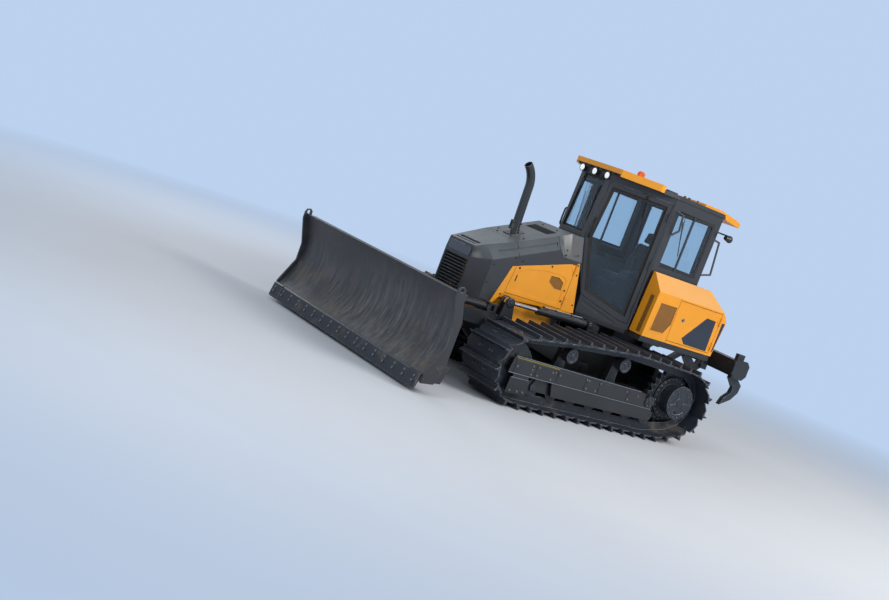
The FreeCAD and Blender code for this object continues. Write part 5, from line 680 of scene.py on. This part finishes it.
def hood_parts():
    """Fasteners and vent of the hood's top, and the bare plate over the grille."""
    up = Vector((HOOD_SLOPE, 0, 1)).normalized()
    studs = Piece()
    for x, y in HOOD_TOP_STUDS:
        studs.stud((x, y, hood_top(x) - 0.5), up, 12.0, 8.0)
    studs.place("hood_studs", "machine", "rubber")
    vent = Piece()
    x0, x1 = TOP_VENT_X
    low = 8.5
    vent.plate([(x0, -TOP_VENT_HALF, hood_top(x0) - low), (x1, -TOP_VENT_HALF, hood_top(x1) - low),
                (x1, TOP_VENT_HALF, hood_top(x1) - low), (x0, TOP_VENT_HALF, hood_top(x0) - low)], up * 3.0)
    for k in range(1, 9):
        x = x0 + (x1 - x0) * k / 9
        vent.block((x - 3.0, x + 3.0), (-TOP_VENT_HALF, TOP_VENT_HALF), (hood_top(x) - low + 1.0, hood_top(x) - 2.0))
    vent.place("hood_vent", "machine", "rubber")
    plate = Piece()
    plate.plate([(NOSE_X + 0.2, y, z) for y, z in FRONT_PLATE], (6.0, 0, 0))
    plate.place("front_plate", "machine", "badge_plate", bevel=2.5)


# Cab: seals, handles, wipers and lamps

CAB_FRONT_X, CAB_FRONT_HALF = 153.0, 221.0
CAB_SIDE_X, CAB_SIDE_Y = -620.0, 750.0
CAB_REAR_X, CAB_REAR_HALF = -1545.0, 700.0
DOOR_GLASS = [(92.0, 1305.0), (655.0, 1440.0), (842.0, 2060.0), (790.0, 2705.0), (92.0, 2716.0)]
DOOR_OUTLINE = [(34.0, 1230.0), (150.0, 1230.0), (690.0, 1372.0), (900.0, 2045.0), (842.0, 2762.0), (34.0, 2775.0)]


def door_point(s, z, out, side):
    """Point on a cab door: along it from its rear corner, up, and out from its face."""
    forward = Vector((CAB_FRONT_X - CAB_SIDE_X, CAB_FRONT_HALF - CAB_SIDE_Y, 0)).normalized()
    outward = Vector((-forward.y, forward.x, 0))
    point = Vector((CAB_SIDE_X, CAB_SIDE_Y, 0)) + forward * s + outward * out
    return Vector((point.x, side * point.y, z))


def door_way(side):
    """Outward direction of a cab door."""
    return (door_point(0, 0, 1.0, side) - door_point(0, 0, 0.0, side)).normalized()


def cab_door_parts():
    """Seal and bead round the glass, handle and wiper of each cab door."""
    for name, side in SIDES:
        body = "cab_door_" + name
        way = door_way(side)
        seal = Piece()
        seal.frame([door_point(s, z, -17.5, side) for s, z in inset(DOOR_GLASS, 0.5)],
                   [door_point(s, z, -17.5, side) for s, z in inset(DOOR_GLASS, 34.0)], way * 3.0)
        seal.place("cab_door_seal_" + name, body, "rubber", bevel=1.0)
        lip = Piece()
        lip.frame([door_point(s, z, -0.5, side) for s, z in inset(DOOR_GLASS, -10.0)],
                  [door_point(s, z, -0.5, side) for s, z in inset(DOOR_GLASS, -1.0)], way * 3.5)
        lip.place("cab_door_bead_" + name, body, "rubber", bevel=1.2)
        handle = Piece()
        handle.pipe([door_point(s, z, out, side) for s, z, out in ((850, 2062, 0), (850, 2066, 22), (850, 2080, 32), (850, 2180, 34),
                                                                   (846, 2270, 32), (845, 2284, 22), (845, 2288, 0))], 11.0)
        handle.plate([door_point(s, z, -0.5, side) for s, z in ((830, 2040), (872, 2040), (868, 2110), (826, 2110))], way * 9.0)
        handle.plate([door_point(s, z, -0.5, side) for s, z in ((828, 2245), (864, 2245), (860, 2308), (824, 2308))], way * 9.0)
        handle.place("cab_door_handle_" + name, body, "rubber", bevel=1.5)
        wiper = Piece()
        wiper.stud(door_point(352, 2742, 0, side), way, 20.0, 26.0)
        wiper.pipe([door_point(s, z, out, side) for s, z, out in ((352, 2742, 18), (345, 2690, 14), (318, 2460, -2), (296, 2330, -5))], 4.5)
        wiper.plate([door_point(s, z, -14.0, side) for s, z in ((338, 2560), (344, 2560), (244, 2080), (238, 2080))], way * 11.0)
        wiper.place("cab_door_wiper_" + name, body, "rubber")


SIDE_WINDOW = [(-1440.0, 2010.0), (-735.0, 2010.0), (-735.0, 2730.0), (-1440.0, 2730.0)]
REAR_WINDOW = [(-560.0, 2010.0), (560.0, 2010.0), (560.0, 2730.0), (-560.0, 2730.0)]
WINDSHIELD = [(-190.0, 2080.0), (190.0, 2080.0), (190.0, 2775.0), (-190.0, 2775.0)]
WINDSHIELD_BOTTOM_Z, WINDSHIELD_TOP_X = 2035.0, 92.0
CAB_TOP = 2850.0


def windshield_x(z):
    """Outer face of the windshield's pane."""
    lean = (CAB_FRONT_X - WINDSHIELD_TOP_X) / (CAB_TOP + 5.0 - WINDSHIELD_BOTTOM_Z)
    return CAB_FRONT_X - (z - WINDSHIELD_BOTTOM_Z) * lean - 24.0


def cab_window_parts():
    """Black borders of the fixed windows, and the wipers of the front and rear ones."""
    for name, side in SIDES:
        border = Piece()
        border.frame(on_side(inset(SIDE_WINDOW, 1.0), 706.5, side), on_side(inset(SIDE_WINDOW, 36.0), 706.5, side), (0, side * 3.0, 0))
        border.place("side_window_border_" + name, "machine", "rubber", bevel=1.0)
    border = Piece()
    rear_x = CAB_REAR_X + 23.5
    border.frame([(rear_x, y, z) for y, z in inset(REAR_WINDOW, 1.0)], [(rear_x, y, z) for y, z in inset(REAR_WINDOW, 36.0)], (-3.0, 0, 0))
    border.frame([(windshield_x(z) + 0.5, y, z) for y, z in inset(WINDSHIELD, 1.0)],
                 [(windshield_x(z) + 0.5, y, z) for y, z in inset(WINDSHIELD, 30.0)], (3.0, 0, 0))
    border.place("end_window_borders", "machine", "rubber", bevel=1.0)
    wiper = Piece()
    wiper.stud((windshield_x(2800.0) + 23.0, 130.0, 2800.0), (1, 0, 0), 20.0, 24.0)
    wiper.pipe([(windshield_x(z) + out, y, z) for y, z, out in ((130, 2800, 40), (132, 2740, 34), (144, 2540, 20), (150, 2440, 16))], 4.5)
    wiper.plate([(windshield_x(z) + 4.0, y, z) for y, z in ((134, 2690), (142, 2690), (162, 2240), (154, 2240))], (10.0, 0, 0))
    wiper.stud((CAB_REAR_X, 60.0, 2775.0), (-1, 0, 0), 20.0, 24.0)
    wiper.pipe([(rear_x - out, y, z) for y, z, out in ((60, 2775, 44), (72, 2700, 36), (130, 2500, 18), (160, 2400, 14))], 4.5)
    wiper.plate([(rear_x - 3.5, y, z) for y, z in ((84, 2640), (92, 2640), (224, 2200), (216, 2200))], (-10.0, 0, 0))
    wiper.place("window_wipers", "machine", "rubber")


LAMP_X, LAMP_Y, LAMP_Z = 136.0, 235.0, 2818.0
REAR_LAMP = (-1712.0, 775.0, 2630.0)


def lamp_parts():
    """Lit lenses of the front lamps and dark ones of the rear lamps."""
    lit = Piece()
    for y in (-LAMP_Y, 0.0, LAMP_Y):
        lit.turned((LAMP_X, y, LAMP_Z), (1, 0, 0), [(0.2, 39.0), (4.0, 38.0), (8.0, 30.0), (10.0, 12.0)], 24)
    lens = lit.place("front_lamp_lenses", "machine", "lamp_white", 60.0)
    dark = Piece()
    x, y, z = REAR_LAMP
    for _, side in SIDES:
        dark.turned((x + 0.3, side * y, z), (-1, 0, 0), [(0.0, 39.0), (3.0, 38.0), (6.0, 26.0), (7.0, 8.0)], 24)
    dark.place("rear_lamp_lenses", "machine", "unlit_lens", 60.0)


# Rear housings

BOX_Y = (772.0, 1000.0)
BOX_VENT = [(-744.0, 1619.0), (-1038.0, 1622.0), (-1038.0, 1400.0), (-959.0, 1270.0), (-726.0, 1266.0)]
BOX_PANEL = [(-1612.0, 1617.0), (-1786.0, 1612.0), (-1806.0, 1214.0), (-1378.0, 1220.0), (-1306.0, 1284.0)]
BOX_CORNER = [(-1910.0, 1614.0), (-1966.0, 1616.0), (-1932.0, 1260.0), (-1922.0, 1224.0), (-1910.0, 1224.0)]
BOX_LOCK = (-1215.0, 1500.0)


def housing_parts():
    """Punched vents, locks and dark panels of the rear housings."""
    for name, side in SIDES:
        vents = Piece()
        vents.plate(on_side(inset(BOX_VENT, 1.0), BOX_Y[1] - 8.6, side), (0, side * 3.0, 0))
        front = [(876.0, 1196.0), (944.0, 1196.0), (944.0, 1675.0), (876.0, 1675.0)]
        vents.plate([(-625.0 - (z - 1170.0) / 22.14 - 8.6, side * y, z) for y, z in front], (3.0, 0, 0))
        vents.place("housing_vents_" + name, "machine", "vent_mesh")
        rims = Piece()
        rims.frame(on_side(inset(BOX_VENT, -14.0), BOX_Y[1] - 0.3, side),
                   on_side(inset(BOX_VENT, 1.0), BOX_Y[1] - 0.3, side), (0, side * 3.0, 0))
        rims.place("housing_vent_rim_" + name, "machine", "body_yellow", bevel=1.2)
        corner = Piece()
        corner.plate(on_side(BOX_CORNER, BOX_Y[1] - 0.3, side), (0, side * 1.6, 0))
        corner.place("housing_corner_" + name, "machine", "slate_plate", bevel=0.8)
        panel = Piece()
        panel.plate(on_side(BOX_PANEL, BOX_Y[1] - 0.3, side), (0, side * 2.0, 0))
        panel.place("housing_panel_" + name, "rear_door_" + name, "slate_plate", bevel=0.8)
        lock = Piece()
        x, z = BOX_LOCK
        lock.turned((x, side * (BOX_Y[1] - 0.5), z), (0, side, 0), [(0.0, 26.0), (2.5, 26.0), (4.0, 23.0), (4.2, 16.0)], 24)
        lock.turned((x, side * BOX_Y[1], z), (0, side, 0), [(0.0, 15.0), (9.0, 15.0), (11.0, 12.0)], 20)
        lock.block((x - 2.0, x + 2.0), sorted((side * (BOX_Y[1] + 8.0), side * (BOX_Y[1] + 12.5))), (z - 9.0, z + 9.0))
        lock.place("housing_lock_" + name, "rear_door_" + name, "bolt_steel")


# Running gear

TRACK_Y = 985.0
GUARD_Y = 1186.0
GUARD_BOLTS = [(1228.0, 457.0), (1000.0, 500.0), (998.0, 453.0), (998.0, 400.0), (905.0, 500.0), (905.0, 404.0), (646.0, 492.0),
               (690.0, 484.0), (689.0, 399.0), (560.0, 478.0), (139.0, 505.0), (99.0, 503.0), (107.0, 402.0), (-45.0, 402.0),
               (-96.0, 500.0), (-560.0, 492.0), (-600.0, 400.0), (-760.0, 470.0)]
GUARD_COVERS = ((1262.0, 970.0), (940.0, 640.0), (600.0, 175.0), (145.0, -60.0), (-90.0, -560.0), (-590.0, -800.0))
LOW_GUARD_BOLTS = [(1213.0, 168.0), (1102.0, 172.0), (1020.0, 176.0)]
SPROCKET_X, SPROCKET_Z = -1450.0, 530.0
PIVOT_X, PIVOT_Z = -985.0, 440.0
CARRIERS = ((455.0, 0.0), (-415.0, 0.0))
TRACK_MIDDLE = (-115.0, 0.0, 460.0)


def ring_places(x, z, radius, count, start=0.0):
    """Evenly spaced places round a centre."""
    turns = [start + 2 * math.pi * i / count for i in range(count)]
    return [(x + radius * math.cos(t), z + radius * math.sin(t)) for t in turns]


def guard_edge(x):
    """Upper and lower edge of a side guard."""
    high = 575.0 - (1300.0 - x) * 35.0 / 2100.0
    low = 372.0 - (1330.0 - x) * 17.0 / 2390.0
    return low, high


def guard_ledges():
    """Ledges along the side guards in a pale bluish paint that is a painted highlight, and the strip under the upper
    one in a dark olive yellow that is painted shade.
    """
    ledges = Piece()
    strips = Piece()
    for _, side in SIDES:
        for x0, z0, x1, z1, out in ((1296.0, 575.0, -790.0, 540.2, 8.0), (1325.0, 378.0, -1050.0, 358.0, 6.5), (1263.0, 330.0, 988.0, 330.0, 6.5)):
            corners = [(x0, z0 - 9.0), (x0, z0), (x1, z1), (x1, z1 - 9.0)]
            ledges.plate(on_side(corners, GUARD_Y - 0.5, side), (0, side * out, 0))
        strips.plate(on_side([(1268.0, 548.0), (1268.0, 559.0), (600.0, 548.0), (600.0, 537.0)], GUARD_Y - 0.5, side), (0, side * 2.2, 0))
    ledges.place("guard_ledges", "machine", "ledge_highlight_paint", bevel=1.5)
    strips.place("guard_strips", "machine", "shaded_yellow_strip")


def lug_face(node, x, z, side):
    """How far out a node's outer face is at a place on its side."""
    solid = NODES[node]
    start = solid.matrix_world.inverted() @ Vector((x * MM, side * 2.0, z * MM))
    hit, place, _, _ = solid.ray_cast(start, Vector((0, -side, 0)))
    return abs((solid.matrix_world @ place).y) / MM if hit else None


def lift_pin_parts():
    """Round covers over the pins of the lift cylinders."""
    for node, body, x, z, radius in (("c_frame", "c_frame", 1157.0, 1042.0, 58.0), ("lift_brackets", "machine", -163.0, 1055.0, 44.0)):
        caps = Piece()
        for _, side in SIDES:
            face = lug_face(node, x + 30.0, z, side)
            if face is None or face > 720.0:
                continue
            out = (0, side, 0)
            caps.turned((x, side * (face - 0.5), z), out, [(0.0, radius), (4.0, radius), (6.0, radius - 4.0), (6.2, radius - 22.0)], 32)
            caps.turned((x, side * (face + 5.0), z), out, [(0.0, 17.0), (4.0, 17.0), (5.5, 13.0)], 6)
        caps.place(node + "_pin_caps", body, "cylinder_black", 40.0)


LIFT_BASE, LIFT_EYE, LIFT_Y, LIFT_R = (-163.0, 1055.0), (1157.0, 1042.0), 560.0, 48.0
LIFT_PIPE = (123.0, 775.0)


def lift_pipe_parts():
    """Bright sleeve and clips of the oil pipe on each lift cylinder."""
    along = Vector((LIFT_EYE[0] - LIFT_BASE[0], 0, LIFT_EYE[1] - LIFT_BASE[1])).normalized()
    lift = Vector((-along.z, 0, along.x))
    for name, side in SIDES:
        sleeve = Piece()
        clips = Piece()
        base = Vector((LIFT_BASE[0], side * LIFT_Y, LIFT_BASE[1]))
        line = base + lift * (LIFT_R + 12.0)
        sleeve.turned(line + along * (LIFT_PIPE[0] + 16.0), along,
                      [(0.0, 7.6), (LIFT_PIPE[1] - LIFT_PIPE[0] - 32.0, 7.6)], 16)
        for share in (0.3, 0.7):
            at = LIFT_PIPE[0] + (LIFT_PIPE[1] - LIFT_PIPE[0]) * share
            clips.turned(base + along * (at - 9.0), along, [(0.0, LIFT_R + 0.5), (1.0, LIFT_R + 2.2), (17.0, LIFT_R + 2.2),
                                                           (18.0, LIFT_R + 0.5)], 36)
            clips.turned(line + along * (at - 9.0), along, [(0.0, 10.5), (18.0, 10.5)], 14)
        sleeve.place("lift_pipe_" + name, "lift_cylinder_" + name, "pipe_steel", 40.0)
        clips.place("lift_pipe_clips_" + name, "lift_cylinder_" + name, "cylinder_black", 40.0)


def running_gear_parts():
    """Covers and bolts of the track frames, final drives and pivots."""
    covers = Piece()
    bolts = Piece()
    for _, side in SIDES:
        out = (0, side, 0)
        for front, rear in GUARD_COVERS:
            corners = [(front, guard_edge(front)[0] + 12.0), (front, guard_edge(front)[1] - 34.0),
                       (rear, guard_edge(rear)[1] - 34.0), (rear, guard_edge(rear)[0] + 12.0)]
            covers.plate(on_side(corners, GUARD_Y - 0.5, side), (0, side * 5.5, 0))
        for x, z in GUARD_BOLTS:
            bolts.bolt((x, side * (GUARD_Y + 5.0), z), out, 9.0)
        for x, z in LOW_GUARD_BOLTS:
            bolts.bolt((x, side * GUARD_Y, z), out, 10.0)
        for x, z in ring_places(SPROCKET_X, SPROCKET_Z, 190.0, 14):
            bolts.bolt((x, side * 1240.0, z), out, 7.5, False)
        for x, z in ring_places(SPROCKET_X, SPROCKET_Z, 240.0, 24):
            bolts.bolt((x, side * 1055.0, z), out, 9.0)
        for x, z in ring_places(SPROCKET_X, SPROCKET_Z, 297.0, 23, 0.1):
            bolts.bolt((x, side * 1017.0, z), out, 8.5)
        for x, z in ring_places(PIVOT_X, PIVOT_Z, 52.0, 6):
            bolts.bolt((x, side * 1200.0, z), out, 8.0, False)
    covers.place("guard_covers", "machine", "black_steel", bevel=2.0)
    bolts.place("running_gear_bolts", "machine", "bolt_steel")
    caps = Piece()
    for _, side in SIDES:
        out = (0, side, 0)
        caps.turned((SPROCKET_X, side * 1239.5, SPROCKET_Z), out, [(0.0, 56.0), (5.0, 56.0), (8.0, 50.0), (8.5, 20.0)], 32)
        caps.turned((SPROCKET_X + 3.0, side * 1231.5, SPROCKET_Z - 125.0), out, [(0.0, 17.0), (10.0, 17.0), (13.0, 13.0)], 6)
        caps.turned((PIVOT_X, side * 1199.5, PIVOT_Z), out, [(0.0, 32.0), (6.0, 32.0), (9.0, 26.0)], 28)
        for x, _ in CARRIERS:
            low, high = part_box("carrier_rollers")
            z = (high.z / MM) - 85.0 if x < 0 else carrier_height(x)
            caps.turned((x, side * (TRACK_Y + 164.5), z), out, [(0.0, 27.0), (5.0, 27.0), (8.0, 22.0)], 24)
            for bx, bz in ring_places(x, z, 70.0, 6):
                caps.bolt((bx, side * (TRACK_Y + 165.0), bz), out, 5.5, False)
    caps.place("hub_caps", "machine", "black_steel", 40.0)


def carrier_height(x):
    """Height of a carrier roller's centre, read from its solid."""
    near = [v.co.z for v in NODES["carrier_rollers"].data.vertices if abs(v.co.x - x * MM) < 0.1 and v.co.y > (TRACK_Y + 150.0) * MM]
    return (max(near) + min(near)) / 2 / MM


def split_runs(polygons, mesh, run):
    """Groups of faces of one plane that touch or overlap along a direction."""
    spans = []
    for polygon in polygons:
        along = [mesh.vertices[i].co.dot(run) for i in polygon.vertices]
        spans.append((min(along), max(along), polygon))
    spans.sort(key=lambda span: span[0])
    groups, reach = [], None
    for low, high, polygon in spans:
        if reach is None or low > reach + 0.002:
            groups.append([])
            reach = high
        groups[-1].append(polygon)
        reach = max(reach, high)
    return groups


def shoe_faces(node):
    """Flat outer faces of a track's shoes: middle and outward direction of each."""
    mesh = NODES[node].data
    planes = {}
    for polygon in mesh.polygons:
        normal = polygon.normal
        if abs(normal.y) > 0.02 or polygon.area < 0.0004:
            continue
        key = (round(normal.x, 2), round(normal.z, 2), round(normal.dot(polygon.center), 3))
        planes.setdefault(key, []).append(polygon)
    found = []
    for polygons in planes.values():
        normal = polygons[0].normal
        run = Vector((normal.z, 0, -normal.x))
        for group in split_runs(polygons, mesh, run):
            points = [mesh.vertices[i].co for polygon in group for i in polygon.vertices]
            along = [p.dot(run) for p in points]
            wide = [p.y for p in points]
            middle = run * ((max(along) + min(along)) / 2) + normal * points[0].dot(normal)
            outward = (middle - Vector(TRACK_MIDDLE) * MM).dot(normal) > 0
            if outward and 0.08 < max(along) - min(along) < 0.25 and max(wide) - min(wide) > 0.55:
                found.append((middle, normal))
    return found


def track_bolts():
    """Four bolts on every track shoe."""
    for name, side in SIDES:
        bolts = Piece()
        for middle, normal in shoe_faces("track_" + name):
            for across in (-118.0, -72.0, 72.0, 118.0):
                place = (middle.x / MM, side * TRACK_Y + across, middle.z / MM)
                bolts.turned(place, normal, [(-0.5, 15.0), (9.0, 15.0), (11.5, 12.0)], 6)
        bolts.place("track_bolts_" + name, "machine", "track_steel")


# Blade

BLADE_LIP, EDGE_TIP = (2800.0, 215.0), (2852.0, 32.0)
BLADE_HALF = 1650.0


def blade_parts():
    """Row of flush bolts along the cutting edge."""
    dx, dz = EDGE_TIP[0] - BLADE_LIP[0], EDGE_TIP[1] - BLADE_LIP[1]
    length = math.hypot(dx, dz)
    down, out = Vector((dx / length, 0, dz / length)), Vector((-dz / length, 0, dx / length))
    bolts = Piece()
    for i in range(17):
        y = -BLADE_HALF + 70.0 + (2 * BLADE_HALF - 140.0) * i / 16
        thick = 34.0 if abs(y) > BLADE_HALF - 210.0 else 24.0
        for along in (58.0, 112.0):
            place = Vector((BLADE_LIP[0], y, BLADE_LIP[1])) + down * along + out * (thick - 1.5)
            bolts.turned(place, out, [(0.0, 17.0), (2.4, 17.0), (3.4, 14.0)], 18)
    bolts.place("edge_bolts", "blade", "bolt_steel")


# Seat

SEAT_X, SEAT_HALF, SEAT_Z = (-1210.0, -700.0), 250.0, (1610.0, 1730.0)
SEAT_BACK_TOP = 2330.0


def soft_block(name, rings, voxel=0.007):
    """Closed form through rings of points, puffed up as cloth over foam."""
    block = Piece()
    block.skin(rings)
    bmesh.ops.recalc_face_normals(block.mesh, faces=block.mesh.faces)
    data = bpy.data.meshes.new(name)
    block.mesh.to_mesh(data)
    block.mesh.free()
    made = bpy.data.objects.new(name, data)
    SCENE.collection.objects.link(made)
    bpy.context.view_layer.objects.active = made
    for other in bpy.context.selected_objects:
        other.select_set(False)
    made.select_set(True)
    bevel = made.modifiers.new("bevel", "BEVEL")
    bevel.width = 0.022
    bevel.segments = 3
    remesh = made.modifiers.new("remesh", "REMESH")
    remesh.mode = "VOXEL"
    remesh.voxel_size = voxel
    for modifier in ("bevel", "remesh"):
        bpy.ops.object.modifier_apply(modifier=modifier)
    puff_up(made)
    made.data.shade_smooth()
    made.data.materials.append(MATERIALS["seat_fabric"])
    return made


def puff_up(made):
    """Cloth under slight pressure, held to a few millimetres."""
    rest = [v.co.copy() for v in made.data.vertices]
    cloth_modifier = made.modifiers.new("cloth", "CLOTH")
    settings = cloth_modifier.settings
    settings.use_pressure = True
    settings.uniform_pressure_force = 4.0
    settings.effector_weights.gravity = 0.0
    cloth_modifier.point_cache.frame_start = 1
    cloth_modifier.point_cache.frame_end = 20
    for step in range(1, 21):
        SCENE.frame_set(step)
    bpy.ops.object.modifier_apply(modifier="cloth")
    limit = 0.009
    for vertex, start in zip(made.data.vertices, rest):
        move = vertex.co - start
        if move.length > limit:
            vertex.co = start + move * (limit / move.length)


def seat_sections(x0, x1, half, low, high, top_in=26.0):
    """Rings of a cushion from bottom to top, pulled in at its upper edge."""
    return [[(x0, -half, low), (x1, -half, low), (x1, half, low), (x0, half, low)],
            [(x0, -half, high - top_in), (x1, -half, high - top_in), (x1, half, high - top_in), (x0, half, high - top_in)],
            [(x0 + top_in, -half + top_in, high), (x1 - top_in, -half + top_in, high), (x1 - top_in, half - top_in, high),
             (x0 + top_in, half - top_in, high)]]


def seat_parts():
    """Cushion, back rest and head rest in the place of the plain solid."""
    x0, x1 = SEAT_X
    cushion = soft_block("seat_cushion", seat_sections(x0 + 130.0, x1 - 12.0, SEAT_HALF - 12.0, SEAT_Z[0] + 3.0, SEAT_Z[1] - 12.0))
    half, top = SEAT_HALF - 27.0, SEAT_BACK_TOP - 132.0
    back = soft_block("seat_back", [[(x0 + 12.0, -half, SEAT_Z[0] + 6.0), (x0 + 108.0, -half, SEAT_Z[0] + 6.0), (x0 + 108.0, half, SEAT_Z[0] + 6.0), (x0 + 12.0, half, SEAT_Z[0] + 6.0)],
                                    [(x0 - 22.0, -half, 1960.0), (x0 + 62.0, -half, 1960.0), (x0 + 62.0, half, 1960.0), (x0 - 22.0, half, 1960.0)],
                                    [(x0 - 42.0, -half + 50.0, top), (x0 + 34.0, -half + 50.0, top), (x0 + 34.0, half - 50.0, top), (x0 - 42.0, half - 50.0, top)]])
    head = soft_block("seat_head_rest", [[(x0 - 44.0, -112.0, SEAT_BACK_TOP - 112.0), (x0 + 30.0, -112.0, SEAT_BACK_TOP - 112.0), (x0 + 30.0, 112.0, SEAT_BACK_TOP - 112.0), (x0 - 44.0, 112.0, SEAT_BACK_TOP - 112.0)],
                                         [(x0 - 58.0, -100.0, SEAT_BACK_TOP + 26.0), (x0 + 8.0, -100.0, SEAT_BACK_TOP + 26.0), (x0 + 8.0, 100.0, SEAT_BACK_TOP + 26.0), (x0 - 58.0, 100.0, SEAT_BACK_TOP + 26.0)]])
    for part, fill in ((cushion, 0.8), (back, 0.8), (head, 0.85)):
        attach(part, "machine")
    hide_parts("seat")


make_camera()
make_studio()
MATERIALS = make_materials()
dress_nodes(MATERIALS)
engine_bay_parts()
hood_parts()
exhaust_parts()
cab_door_parts()
cab_window_parts()
lamp_parts()
housing_parts()
guard_ledges()
lift_pin_parts()
lift_pipe_parts()
running_gear_parts()
track_bolts()
blade_parts()
seat_parts()
